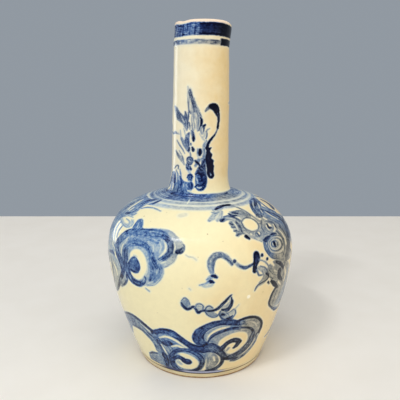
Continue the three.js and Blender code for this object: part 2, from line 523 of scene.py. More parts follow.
def onto_vase(pixels):
    """Where the view's rays through these pixels first meet the outline turned round its axis:
    the first sign change of distance from the axis less radius, halved down to a point."""
    nearest_wall, furthest_wall, tries, halvings = 0.22, 0.36, 561, 14
    pixels = np.asarray(pixels, float)
    right = (pixels[:, 0] - picture_pixels / 2) / focal_pixels
    up = (picture_pixels / 2 - pixels[:, 1]) / focal_pixels
    sine, cosine = math.sin(view_tilt), math.cos(view_tilt)
    rays = np.stack([right, cosine + up * sine, up * cosine - sine], axis=-1)
    eye = np.array([view_side, -view_distance, view_height])

    def outside(steps):
        """Distance from the wall, positive outside it, at these steps along each ray."""
        spot = eye + steps[..., None] * rays[:, None, :]
        z = np.clip(spot[..., 2], 0, vase_height)
        radius = np.interp(z, outline[:, 1], outline[:, 0])
        return np.hypot(spot[..., 0] - axis_offset(z), spot[..., 1]) - radius

    steps = np.linspace(nearest_wall, furthest_wall, tries)[None, :].repeat(len(pixels), axis=0)
    away = outside(steps)
    hit = away < 0
    first = np.where(hit.any(axis=1), hit.argmax(axis=1), away.argmin(axis=1))
    low, high = steps[0, np.maximum(first - 1, 0)], steps[0, first]
    for _ in range(halvings):
        middle = (low + high) / 2
        inside = outside(middle[:, None])[:, 0] < 0
        low, high = np.where(inside, low, middle), np.where(inside, middle, high)
    return eye + high[:, None] * rays


def pixel_widths(points, placed):
    """Widths in pixels as millimetres on the wall: each times the length that a pixel's step
    square to the stroke covers there, less its part along the stroke."""
    shortest, longest, nothing = 0.6, 1.7, 1e-9
    way = np.gradient(points[:, :2], axis=0) if len(points) > 1 else np.array([[1.0, 0.0]])
    way /= np.linalg.norm(way, axis=1)[:, None] + nothing
    square = np.stack([-way[:, 1], way[:, 0]], axis=-1) / 2
    step = (placed(points[:, :2] + square) - placed(points[:, :2] - square)) * 1000
    ahead = (placed(points[:, :2] + way / 2) - placed(points[:, :2] - way / 2)) * 1000
    ahead /= np.linalg.norm(ahead, axis=1)[:, None] + nothing
    step -= (step * ahead).sum(axis=1)[:, None] * ahead
    covered = np.clip(np.linalg.norm(step, axis=1), shortest, longest)
    return points[:, 2] * covered + wet_edge


def round_vase(spots):
    """Points of the wall at an angle from the front, in degrees, and a height, in millimetres."""
    spots = np.asarray(spots, float)
    height = spots[:, 1] / 1000
    return on_wall(np.interp(height, outline[:, 1], outline[:, 0]), height, spots[:, 0])


def turned_round(spots, degrees):
    """Points carried round the wandering axis by an angle, at their own heights."""
    turn = math.radians(degrees)
    offset = axis_offset(spots[:, 2])
    x, y = spots[:, 0] - offset, spots[:, 1]
    x, y = x * math.cos(turn) - y * math.sin(turn), x * math.sin(turn) + y * math.cos(turn)
    return np.stack([x + offset, y, spots[:, 2]], axis=-1)


def smooth_path(points, widths):
    """A curve through the points: Catmull-Rom pieces sampled evenly, the width eased along it."""
    points, widths = np.asarray(points, float), np.asarray(widths, float)
    if len(points) == 1:
        return points, widths
    ends = np.vstack([2 * points[0] - points[1], points, 2 * points[-1] - points[-2]])
    path, breadth = [], []
    for k in range(len(points) - 1):
        before, start, end, after = ends[k : k + 4]
        count = max(2, int(math.ceil(np.linalg.norm(end - start) / stroke_spacing)))
        t = np.linspace(0, 1, count, endpoint=False)[:, None]
        bend = 2 * start + (end - before) * t
        bend = bend + (2 * before - 5 * start + 4 * end - after) * t**2
        bend = bend + (3 * start - before - 3 * end + after) * t**3
        path.append(bend / 2)
        breadth.append(widths[k] + (widths[k + 1] - widths[k]) * smooth_step(t[:, 0], 0, 1))
    return np.vstack([*path, points[-1:]]), np.append(np.concatenate(breadth), widths[-1])


def line(tone, points):
    """A loaded brush stroke: how dark it is, 0 to 1, and its points, each with the width there."""
    return "line", tone, points


def wash(tone, points):
    """A stroke of thinned colour, given as a line is."""
    return "wash", tone, points


def bare(points):
    """A stroke left bare, or scratched clear again, given as a line is."""
    return "bare", 0, points


def patch(kind, tone, points):
    """An area inside a closed curve through the points: line, wash or bare."""
    return kind + " patch", tone, points


def ring(kind, tone, centre, radius, width):
    """A small circle round a centre: 13 points at even angles, the last on the first."""
    x, y = centre
    turns = np.linspace(0, 2 * math.pi, 13)
    around = [(x + radius * math.cos(a), y + radius * math.sin(a), width) for a in turns]
    return kind, tone, around


# How the cobalt fired at places of the view, across, down, and from 0 blue to 1 grey: it stays blue
# where it lies thick under thick glaze, and greys where the paint is thin or the kiln smoked.
fired_casts = [
    (135, 240, 0.0), (155, 250, 0.1), (180, 250, 0.6), (122, 250, 0.3), (116, 278, 0.8),
    (146, 281, 0.2), (136, 213, 0.2), (116, 224, 0.3), (190, 184, 0.0), (209, 162, 0.4),
    (214, 110, 0.7), (188, 108, 0.65), (197, 124, 0.5), (182, 152, 0.7), (191, 148, 0.35),
    (184, 30, 0.15), (203, 30, 0.0), (227, 36, 0.8), (180, 42, 0.75), (205, 42, 1.0),
    (168, 196, 0.45), (200, 198, 0.35), (192, 206, 0.8), (230, 200, 0.75), (256, 207, 0.35),
    (285, 218, 0.5), (220, 216, 0.4), (238, 226, 0.65), (268, 237, 0.2), (264, 228, 0.95),
    (283, 250, 1.0), (273, 287, 1.0), (215, 260, 0.55), (213, 279, 0.2), (250, 265, 0.5),
    (196, 306, 0.4), (227, 311, 0.55), (200, 335, 0.05), (225, 321, 0.15), (255, 324, 0.8),
    (237, 346, 0.75), (211, 335, 0.6), (205, 349, 0.2), (215, 359, 0.7), (138, 325, 0.55),
    (170, 334, 0.1), (164, 351, 0.4), (188, 352, 0.1), (160, 363, 0.5), (205, 372, 0.6),
]
cast_reach, middle_cast, middle_weight = 5.5, 0.35, 0.02


def cast_at(spots):
    """How grey the paint fired at these points: the casts of the places, each weighed by a bell of
    its distance, with a little of the middle cast everywhere."""
    total = np.full(len(spots), middle_cast * middle_weight)
    weights = np.full(len(spots), middle_weight)
    for place, cast in zip(onto_vase([c[:2] for c in fired_casts]) * 1000, fired_casts):
        weight = np.exp(-((spots - place) ** 2).sum(axis=1) / (2 * cast_reach**2))
        total += weight * cast[2]
        weights += weight
    return total / weights


class Painting:
    """The paint at the points of some rows, in millimetres: signed distances to the nearest dark
    and washed paint, negative inside, their tones, and the place along and across the stroke."""

    def __init__(self, rows, columns):
        """Places the points with on_wall, without its waves, and starts with no paint."""
        rows = np.asarray(rows, float)
        spots = on_wall(rows[:, :1], rows[:, 1:], columns[None, :])
        self.spots = spots.reshape(-1, 3) * 1000
        self.degrees = np.broadcast_to(columns[None, :], spots.shape[:2]).ravel()
        climb = np.interp(rows[:, 1], outline[:, 1], outline_length) * 1000
        self.climb = np.repeat(climb, len(columns))
        count = len(self.spots)
        self.line, self.wash = np.full(count, field_reach), np.full(count, field_reach)
        self.line_tone, self.wash_tone = np.zeros(count), np.zeros(count)
        self.along, self.across = np.zeros(count), np.zeros(count)
        self.strokes = 0

    def near(self, path, reach):
        """Which points lie in the box round a path, widened by reach."""
        low, high = path.min(axis=0) - reach, path.max(axis=0) + reach
        return np.flatnonzero(((self.spots > low) & (self.spots < high)).all(axis=1))

    def lay(self, kind, tone, chosen, distance):
        """Adds paint, or clears it, at the signed distance to the new shape."""
        if kind == "bare":
            self.line[chosen] = np.maximum(self.line[chosen], -distance)
            self.wash[chosen] = np.maximum(self.wash[chosen], -distance)
            return
        fields = {"line": (self.line, self.line_tone), "wash": (self.wash, self.wash_tone)}
        field, tones = fields[kind]
        tones[chosen] += (tone - tones[chosen]) * smooth_step(-distance, -tone_inset, 0)
        field[chosen] = np.minimum(field[chosen], distance)

    def stroke(self, kind, tone, path, widths):
        """Lays one stroke, a run of samples at a time: the distance to the nearest sample of its
        path, less half its width. Along and across come from the offset to that sample."""
        self.strokes += 1
        run, nothing = 24, 1e-9
        for start in range(0, max(1, len(path) - 1), run):
            piece, breadth = path[start : start + run + 1], widths[start : start + run + 1]
            chosen = self.near(piece, breadth.max() / 2 + field_reach)
            if not len(chosen):
                continue
            apart = self.spots[chosen][:, None, :] - piece[None]
            gaps = np.sqrt((apart**2).sum(axis=2)) - breadth / 2
            nearest = gaps.argmin(axis=1)
            here = np.arange(len(chosen))
            distance = gaps[here, nearest]
            self.lay(kind, tone, chosen, distance)
            if len(piece) < 2 or kind == "bare":
                continue
            under = distance < bristle_reach
            ahead = np.gradient(piece, axis=0)
            ahead /= np.linalg.norm(ahead, axis=1)[:, None] + nothing
            offset, ahead = apart[here, nearest], ahead[nearest]
            side = np.cross(ahead, self.spots[chosen] * (1, 1, 0))
            side /= np.linalg.norm(side, axis=1)[:, None] + nothing
            along = (start + nearest) * stroke_spacing + (offset * ahead).sum(axis=1)
            along += bristle_shift * self.strokes
            self.along[chosen[under]] = along[under]
            self.across[chosen[under]] = (offset * side).sum(axis=1)[under]

    def fill(self, kind, tone, path):
        """Fills a closed path: distance to its edge, negative where a line to the left crosses the
        edge an odd number of times."""
        chosen = self.near(path, field_reach)
        if not len(chosen):
            return
        run = 40
        edge = np.full(len(chosen), field_reach)
        for start in range(0, len(path), run):
            apart = self.spots[chosen][:, None, :] - path[None, start : start + run]
            edge = np.minimum(edge, np.sqrt((apart**2).sum(axis=2)).min(axis=1))
        offset = axis_offset(path[:, 2] / 1000) * 1000
        u = np.degrees(np.arctan2(path[:, 0] - offset, -path[:, 1]))
        middle = u[0]
        u = (u - middle + 180) % 360 - 180
        at_u = (self.degrees[chosen] - middle + 180) % 360 - 180
        v = np.interp(path[:, 2] / 1000, outline[:, 1], outline_length) * 1000
        at_v = self.climb[chosen]
        inside = np.zeros(len(chosen), bool)
        for k in range(len(path)):
            u0, v0, u1, v1 = u[k - 1], v[k - 1], u[k], v[k]
            if v0 != v1:
                crossed = at_u < u0 + (at_v - v0) * (u1 - u0) / (v1 - v0)
                inside ^= ((v0 > at_v) != (v1 > at_v)) & crossed
        self.lay(kind, tone, chosen, np.where(inside, -edge, edge))

    def circle(self, kind, tone, low, high):
        """A band turned on the wheel, between two lengths up the outline: the distance to its
        middle less half its width, with a slow wobble and a quick one. The tone is a function of
        the angle and the length up the outline."""
        slow_wobble, quick_wobble, radius_turned = 0.16, 0.06, 30
        turn = np.radians(self.degrees)
        wobble = slow_wobble * np.sin(turn * 2 + low) + quick_wobble * np.sin(turn * 7 + low * 3)
        climb = self.climb + wobble
        distance = abs(climb - (low + high) / 2) - (high - low) / 2
        chosen = np.flatnonzero(distance < field_reach)
        tones = tone(self.degrees[chosen], climb[chosen])
        self.lay(kind, tones, chosen, distance[chosen])
        under = chosen[distance[chosen] < bristle_reach]
        self.along[under] = turn[under] * radius_turned
        self.across[under] = self.climb[under]

    def add(self, motif, placed=onto_vase, turned=0.0):
        """Lays the strokes of a motif in order, where placed puts them, turned round the vase."""
        for kind, tone, points in motif:
            points = np.asarray(points, float)
            filled = kind.endswith("patch")
            if filled:
                points = np.vstack([points, points[:1]])
            spots = turned_round(placed(points[:, :2]), turned) * 1000
            if filled:
                path, _ = smooth_path(spots, np.zeros(len(spots)))
                self.fill(kind.split()[0], tone, path[:-1])
            else:
                widths = pixel_widths(points, placed) if placed is onto_vase else points[:, 2]
                self.stroke(kind, tone, *smooth_path(spots, widths))

    def marks(self):
        """The fields as the mesh keeps them, each with its value on points that aren't painted."""
        return {
            "line": (field_reach, self.line),
            "wash": (field_reach, self.wash),
            "line_tone": (0, self.line_tone),
            "wash_tone": (0, self.wash_tone),
            "along": (0, self.along),
            "across": (0, self.across),
            "cast": (middle_cast, cast_at(self.spots)),
        }


# Each motif lists its strokes in the order in which they are laid: how dark, and then its points,
# across and down the view, with the width there. This one is the big curled cloud on the left.
left_cloud = [
    patch("wash", 0.33, [
        (116.4, 245), (117.6, 239), (121.4, 234.4), (127, 230.6), (133, 228.6), (136, 224.6),
        (137, 220.6), (139.6, 218.8), (142.4, 221), (142.2, 226), (145.4, 229), (152, 228.2),
        (160, 229), (167, 230.2), (172.4, 232.6), (175.6, 236.4), (179, 239), (182.4, 242),
        (184.8, 247.4), (182.6, 252.4), (178, 254.8), (176.4, 258.4), (173, 262.6), (167.6, 266),
        (163.6, 268), (163.6, 273), (161, 279), (156, 284), (150, 286), (145, 285.6), (140, 286.2),
        (135, 284), (131, 279.6), (128.2, 276), (127.6, 281), (125.4, 284.8), (122, 287),
        (119.4, 284.6), (118.6, 288.6), (117, 291), (115.6, 287), (117, 281), (120, 276.6),
        (121, 271), (120, 265), (117.6, 259), (116, 252),
    ]),
    patch("wash", 0.32, [
        (108.6, 249), (112.6, 252), (116.4, 258), (119.8, 265), (120.6, 272), (119, 278),
        (117.2, 290), (115, 286), (113.6, 278), (112, 268), (110, 258),
    ]),
    wash(0.46, [(128, 243, 4), (134, 236.6, 5), (142, 237.4, 6), (150, 238.6, 7), (157, 240.6, 6)]),
    wash(0.60, [
        (118, 244, 4.4), (121, 238.4, 5.4), (126.4, 234, 6), (132, 232.2, 6.6), (138.6, 232.4, 7.2),
        (146, 232.6, 7.4), (155, 232.8, 7), (162.4, 234.6, 6), (167.5, 238.6, 5),
    ]),
    line(0.68, [
        (120.4, 237, 1.4), (125.6, 231.8, 2), (132, 229.6, 2.2), (139, 229.4, 2), (147, 229.8, 2.2),
        (155, 230, 2.2), (162, 231.4, 1.8), (167, 234, 1.4),
    ]),
    line(0.62, [(133, 232.6, 1.6), (138, 234, 2), (144, 233.8, 1.8)]),
    wash(0.56, [(134.6, 229.6, 6), (137.6, 226.6, 8), (138.8, 223.6, 7), (139.6, 221.6, 5)]),
    line(0.50, [
        (141.6, 220.4, 1), (142, 224, 1.2), (140.6, 227.6, 1.4), (136, 230.4, 1.6), (131, 232, 1),
    ]),
    line(0.42, [
        (160, 229, 0.8), (167, 230.2, 1.1), (172.6, 233, 1.4), (176, 236.4, 1.1), (178.6, 238, 0.7),
    ]),
    wash(0.70, [
        (163.6, 236.6, 4), (168.4, 240.6, 5), (170.8, 246, 5), (170, 252, 4.8), (166.4, 256.6, 4.4),
        (161.6, 259.2, 3.2), (157.6, 262, 2.2),
    ]),
    line(0.76, [
        (169.4, 240, 1.6), (172.2, 245, 1.9), (171.8, 251, 2.2), (168.4, 256.2, 2.6),
        (163.6, 258.6, 2.6), (160, 260.6, 1.5),
    ]),
    bare([
        (164, 240.6, 0.9), (165.9, 245.4, 1.9), (165.2, 250.6, 2.1), (162.2, 254.4, 1.7),
        (159.4, 257, 0.8),
    ]),
    bare([(159.6, 242, 0.5), (161, 247, 0.8), (159.6, 252.4, 0.6)]),
    bare([(153, 245, 0.5), (153.6, 249.6, 0.8), (152, 253, 0.5)]),
    wash(0.62, [
        (123.8, 262, 4), (123.6, 254, 4.4), (125.8, 247.4, 4.6), (131, 243.4, 4.8),
        (138.4, 242.8, 4.8), (145, 245, 4.4), (149.4, 250, 3.8), (152, 256.4, 4), (153.6, 262, 4.4),
    ]),
    line(0.62, [
        (125, 248.4, 1.6), (129.4, 244.8, 2), (135.4, 243.8, 2.2), (142, 245, 2),
        (146.4, 248.4, 1.6),
    ]),
    line(0.76, [
        (118, 240.6, 2.8), (116.9, 246.6, 3.6), (117.9, 253, 4.2), (120.8, 260, 4.8),
        (122.8, 267, 4.6), (122.4, 274, 4), (120.2, 280, 3), (118.6, 286.4, 2.4), (117.4, 290, 1.4),
    ]),
    bare([(113.4, 262, 0.6), (116, 268, 1.2), (117.6, 274.6, 0.9)]),
    line(0.58, [(111, 256, 1.2), (112.6, 266, 1.5), (113.8, 276, 1.5), (115, 285, 1.2)]),
    line(0.72, [
        (126, 250, 3.4), (125.8, 258, 4.6), (126.8, 266, 5.2), (128.8, 273, 5.2), (132.2, 279, 5.4),
        (138, 283.2, 5.8), (142.8, 282.8, 5), (145, 279, 3.6), (144.8, 276.6, 2.2),
    ]),
    bare([(121.6, 256, 0.6), (121.7, 249, 1), (123.4, 244, 0.8)]),
    line(0.66, [(126.8, 275, 2), (127, 279.6, 2.4), (125, 283.6, 2.4), (122.2, 285.8, 1.4)]),
    line(0.50, [(121, 279, 1.2), (121.8, 283, 1.6)]),
    line(0.70, [(152.4, 258.6, 3), (154.4, 262.6, 4.6), (156.8, 267.4, 4)]),
    wash(0.56, [(149.8, 260, 3), (152.6, 267, 4.4), (153, 274, 4.6), (150.6, 280, 3.4)]),
    line(0.60, [(151, 264, 1.6), (153, 270, 2.4), (152.4, 276, 2.6), (150.4, 280.6, 1.6)]),
    wash(0.52, [(158, 263, 2.6), (160.4, 269.4, 3.2), (158.8, 275.6, 3), (154.6, 281, 2.4)]),
    line(0.56, [(158.6, 266, 1.2), (160.2, 270.6, 1.6), (158.4, 276, 1.4)]),
    line(0.44, [
        (176.4, 256, 1), (173.4, 262, 1.3), (167.6, 265.8, 1.3), (163.6, 268, 1.1),
        (163.2, 273.6, 1.3), (160, 279.6, 1.4), (154.6, 284.4, 1.2), (147, 285.6, 1),
    ]),
    bare([(157.6, 260.6, 0.9), (161, 262.8, 1.3), (165.8, 261.6, 0.9)]),
    bare([(146.8, 262, 0.7), (147.2, 270, 0.9), (145.6, 276, 0.6)]),
    bare([(148, 283.4, 0.8), (153, 281.4, 0.9)]),
    patch("bare", 0, [
        (129.6, 257), (130.6, 252), (134, 249), (138.6, 248.8), (142.6, 252), (145.8, 258),
        (147.2, 265), (146.8, 271), (144.2, 276), (140.4, 279.4), (135.8, 279), (132.4, 275.6),
        (130.4, 270.6), (129, 264),
    ]),
    patch("line", 0.76, [
        (127.4, 264), (128.6, 260), (131.4, 257.4), (134.6, 256), (137.6, 259), (139.8, 264),
        (140.4, 268.6), (138.4, 272.6), (135, 273.2), (131.6, 271.4), (128.6, 269.4),
    ]),
    wash(0.2, [(134, 255.4, 1.2), (136.6, 257, 1)]),
    bare([(131.8, 254.6, 0.8), (129.8, 258.4, 0.9), (127.8, 262, 0.5)]),
    line(0.80, [(177.2, 252, 4.6), (180.6, 251, 5.2), (183, 248.4, 3.2)]),
    line(0.86, [(180, 253.4, 1.2), (183.2, 250.6, 1.8), (184.2, 247.4, 1.2)]),
    line(0.66, [(181, 242.6, 1), (184, 246, 1.6), (183.8, 249.6, 2)]),
    line(0.38, [(175.4, 239.4, 0.9), (179.6, 240.4, 1.1), (182, 243, 1)]),
    bare([(174.4, 243, 0.8), (175, 247.4, 1.1), (174, 252.6, 0.7)]),
    line(0.30, [(146, 288.4, 1.3), (149.4, 291, 1.5)]),
    wash(0.07, [(180.6, 215.6, 3.6), (184.6, 214.8, 3.4)]),
    line(0.18, [(186, 255, 1.1), (188.6, 256.6, 1), (193, 257.4, 0.9), (196.4, 260, 1)]),
]
# The striped cloud that comes over the left shoulder
left_shoulder_cloud = [
    patch("wash", 0.46, [
        (158, 200.6), (153.6, 204.4), (147, 204.8), (142, 207.2), (138, 211), (132, 214.4),
        (125.6, 215.6), (120, 220), (116, 226), (113, 232), (109, 232), (109, 222), (116, 211),
        (126, 201.6), (138, 194.6), (149, 192),
    ]),
    line(0.74, [
        (156, 199.4, 1), (147.4, 201, 2.2), (141.4, 204.6, 2.8), (137.4, 208, 2.6),
        (131.4, 211.8, 2.4), (126, 213, 1.6),
    ]),
    line(0.80, [(160.6, 200.4, 1), (156.4, 202.2, 1.5), (152.6, 203.8, 1.2)]),
    bare([(156, 201, 0.4), (150, 202.8, 0.7), (146, 204.6, 0.5)]),
    line(0.64, [(146, 197, 1.6), (138, 200.4, 2), (131, 204.4, 1.8)]),
    line(0.62, [(127.6, 207.4, 2.4), (122.6, 210.6, 3), (119, 214.6, 2.4)]),
    line(0.56, [(139.6, 205.6, 1.6), (135, 209.4, 1.8), (129.6, 211, 1.4)]),
    bare([(143, 199.6, 0.8), (136.6, 203.4, 1.4), (131, 207, 1.3), (128.6, 209.6, 0.8)]),
    bare([(138.4, 198.6, 0.6), (130, 202.4, 1), (123, 208, 0.9)]),
    bare([(134, 207.4, 0.7), (130, 210.4, 0.9)]),
    line(0.40, [(141.4, 208.4, 1), (147, 207.4, 1.4), (153, 208, 1.5), (160.4, 211.2, 1.1)]),
    line(0.46, [(130.6, 213.6, 1.2), (132.8, 215, 1.6), (136, 213.6, 1.1)]),
    wash(0.24, [(122, 219, 3), (124, 224, 3.6), (129.6, 225.4, 3.4), (132, 221.4, 2.6)]),
    line(0.52, [(124.4, 204, 1), (118.6, 209.4, 1.4), (114.6, 216, 1.4), (112.4, 223, 1.1)]),
    line(0.46, [(122, 213.6, 1), (117.6, 218, 1.3), (114.8, 224, 1.2)]),
    line(0.42, [
        (121, 221.6, 1), (117.4, 227, 1.3), (115, 234, 1.3), (114.6, 241, 1.2), (116.4, 248, 1),
    ]),
    line(0.48, [(123, 225.4, 1), (119, 230.6, 1.3), (117, 236.4, 1.1)]),
    line(0.40, [(112.4, 231, 0.8), (111.4, 238, 1), (112, 246, 0.8)]),
    line(0.38, [(124.6, 216.6, 0.9), (129, 215.6, 1.1), (133.4, 217.4, 0.9)]),
    line(0.46, [(121, 217.4, 1.1), (121.8, 222, 1.4), (125.6, 226.6, 1.3), (130, 226.8, 1)]),
    line(0.40, [(126.4, 218.6, 1), (129.4, 221.4, 1.2), (128.2, 225, 1.1), (125, 223.4, 0.9)]),
    line(0.34, [(131.4, 219.4, 0.8), (133.6, 222.4, 1), (131.6, 226, 0.9)]),
    patch("wash", 0.30, [
        (113.6, 228), (112, 236), (112.6, 244), (115, 250), (113, 256), (110, 262), (107.6, 256),
        (107.4, 244), (108.4, 234),
    ]),
    line(0.56, [(109.6, 250.4, 3), (112.6, 251.8, 3.4), (114.4, 254.6, 2)]),
    line(0.54, [(116, 226.6, 1.1), (113.4, 233, 1.6), (113.2, 240, 1.6), (115.4, 247, 1.3)]),
    line(0.46, [(111.4, 228.6, 1), (110, 236, 1.3), (110, 245, 1.2)]),
    bare([(118.6, 221.6, 0.9), (115.4, 228, 1.4), (113.9, 236, 1), (114.2, 243, 0.7)]),
]
# The curl in the middle, beside the dragon's jaw
middle_curl = [
    wash(0.52, [
        (232, 264.4, 2.8), (229.4, 260.4, 4.2), (225.4, 256.8, 5), (220, 254.9, 5.2),
        (214.6, 256.2, 5.8), (211.1, 260.6, 6.2), (210.4, 266, 5.6), (211.4, 271, 4.2),
        (212.6, 274, 2),
    ]),
    line(0.70, [(232, 264.4, 2.8), (229.2, 261, 3), (225.4, 258.2, 2.4)]),
    line(0.66, [
        (222, 257, 1.6), (217.4, 257.4, 2.2), (214.4, 260, 2.8), (213, 265, 3), (212.9, 270, 2.2),
        (213.4, 273, 1.3),
    ]),
    line(0.44, [(208.6, 259.4, 1), (208, 265, 1.2), (209.4, 271, 1.1)]),
    line(0.44, [(213.4, 253.8, 1), (220, 252.4, 1.1), (226, 254.4, 1)]),
    wash(0.40, [(207.4, 279.6, 2.4), (210.6, 277.4, 3.8), (214.6, 276.4, 3.4)]),
    line(0.95, [(211.8, 276, 2.4), (214.6, 276.3, 3.6), (216.8, 277.6, 2.4)]),
    line(0.97, [(207.6, 282.4, 2), (210.6, 281.6, 4), (213.4, 282.4, 2.4)]),
    wash(0.24, [(202, 285.2, 2), (206.4, 285.2, 3.4), (212, 284.6, 3)]),
    line(0.42, [(199.6, 285.4, 1.3), (204, 284.2, 1.5), (208, 283, 1.5)]),
    line(0.32, [(200.6, 285.6, 0.9), (205, 287.2, 1), (211.4, 286.4, 0.9)]),
    line(0.84, [(234.6, 261.3, 3.6)]),
    wash(0.38, [(235.4, 262.6, 2.4), (238.6, 265.4, 3.4), (242, 267.2, 3.6)]),
    line(0.66, [
        (239, 265.8, 1.4), (241.6, 267, 2.6), (245, 267.9, 3.4), (249.6, 266.2, 2.6),
        (253.6, 263.8, 2.4),
    ]),
    line(1.0, [
        (256.5, 255, 6.2), (256.8, 259.2, 6.6), (255.8, 263.8, 4.6), (255.1, 267.4, 4),
        (255.3, 270.4, 4.8),
    ]),
    line(0.22, [(189, 288.6, 1), (190.6, 289.8, 0.9)]),
]
# The small cloud under it, drawn like a fish
wave = [
    patch("wash", 0.43, [
        (183.4, 298), (180.6, 302), (182, 306.4), (186, 309.8), (190.4, 309.4), (190, 304),
        (187.8, 300), (185.6, 298),
    ]),
    line(0.78, [(181.4, 302.6, 1.9), (183.4, 306, 2.9), (187, 308.9, 3), (190.4, 308.3, 2.4)]),
    line(0.66, [(181.6, 300.6, 1.1), (184.6, 297.9, 1.4), (187.8, 300, 1.4), (189.8, 304.4, 1.2)]),
    line(0.84, [
        (190, 308.4, 2), (193.4, 306.6, 2.4), (196, 309.4, 2.4), (198.3, 312.4, 2.8),
        (201, 311.2, 2.2), (204.6, 310.4, 2),
    ]),
    wash(0.28, [(198, 307.4, 4.8), (201, 307.6, 3.4)]),
    line(0.60, [
        (195.2, 307.4, 1.1), (196.8, 304.4, 1.4), (200, 303.8, 1.3), (203.2, 306, 1.3),
        (202.4, 309.6, 1),
    ]),
    wash(0.30, [(208, 308.8, 3.4), (211, 308.6, 2.4)]),
    line(0.70, [(205, 310.6, 1.4), (206.4, 307.4, 1.7), (209.4, 305.9, 1.4), (212.6, 308, 1.3)]),
    line(0.84, [
        (204, 310.8, 2), (209, 311, 2.4), (214, 310.3, 2.6), (218, 308.4, 2.8), (221.6, 305, 2.8),
        (226, 300.6, 2.6), (229.6, 296.6, 2), (231.8, 294.8, 0.9),
    ]),
    patch("wash", 0.29, [
        (220.6, 308), (224.6, 303), (229, 299), (231.8, 302), (230.8, 306.6), (227, 310),
    ]),
    bare([(225, 304.8, 1), (228.6, 301.2, 1.6)]),
    line(0.84, [
        (231.4, 297.6, 1.6), (231.9, 302, 3), (230.2, 306.6, 3.2), (226.8, 309.8, 3.8),
        (222.4, 309.8, 2.4),
    ]),
    patch("wash", 0.39, [
        (205.6, 312.2), (209, 315.8), (213, 317), (217.4, 316), (220, 312), (226, 313),
        (229, 318.6), (223, 319.6), (219.8, 315.4), (212, 311.4),
    ]),
    line(0.62, [
        (205.4, 312, 1.4), (208, 315, 1.8), (212.6, 317, 1.7), (217, 316, 1.5), (219.8, 312.6, 1.2),
    ]),
    line(0.76, [(220.2, 311.4, 1.4), (219.6, 315, 1.8), (222, 318.2, 2.2), (226, 320, 2)]),
    line(0.90, [(222.4, 314.4, 3.2), (224.6, 314.9, 2.2)]),
    line(0.62, [(224.6, 311.4, 1.2), (227.6, 313.6, 1.4), (229.6, 317, 1.3)]),
    line(0.92, [(227, 318.6, 2), (230.6, 318, 2.4), (232.2, 316.2, 2)]),
    wash(0.26, [(229, 313.6, 3.4), (232, 312.6, 3.4)]),
    line(0.60, [
        (229, 312.6, 1), (232, 310.6, 1.2), (234.6, 309.2, 1.5), (235.4, 313, 1.4),
        (232.8, 317.4, 1.3), (230.4, 320, 1.1),
    ]),
    line(0.26, [(235.6, 308.4, 1), (238.8, 304.8, 0.8)]),
]
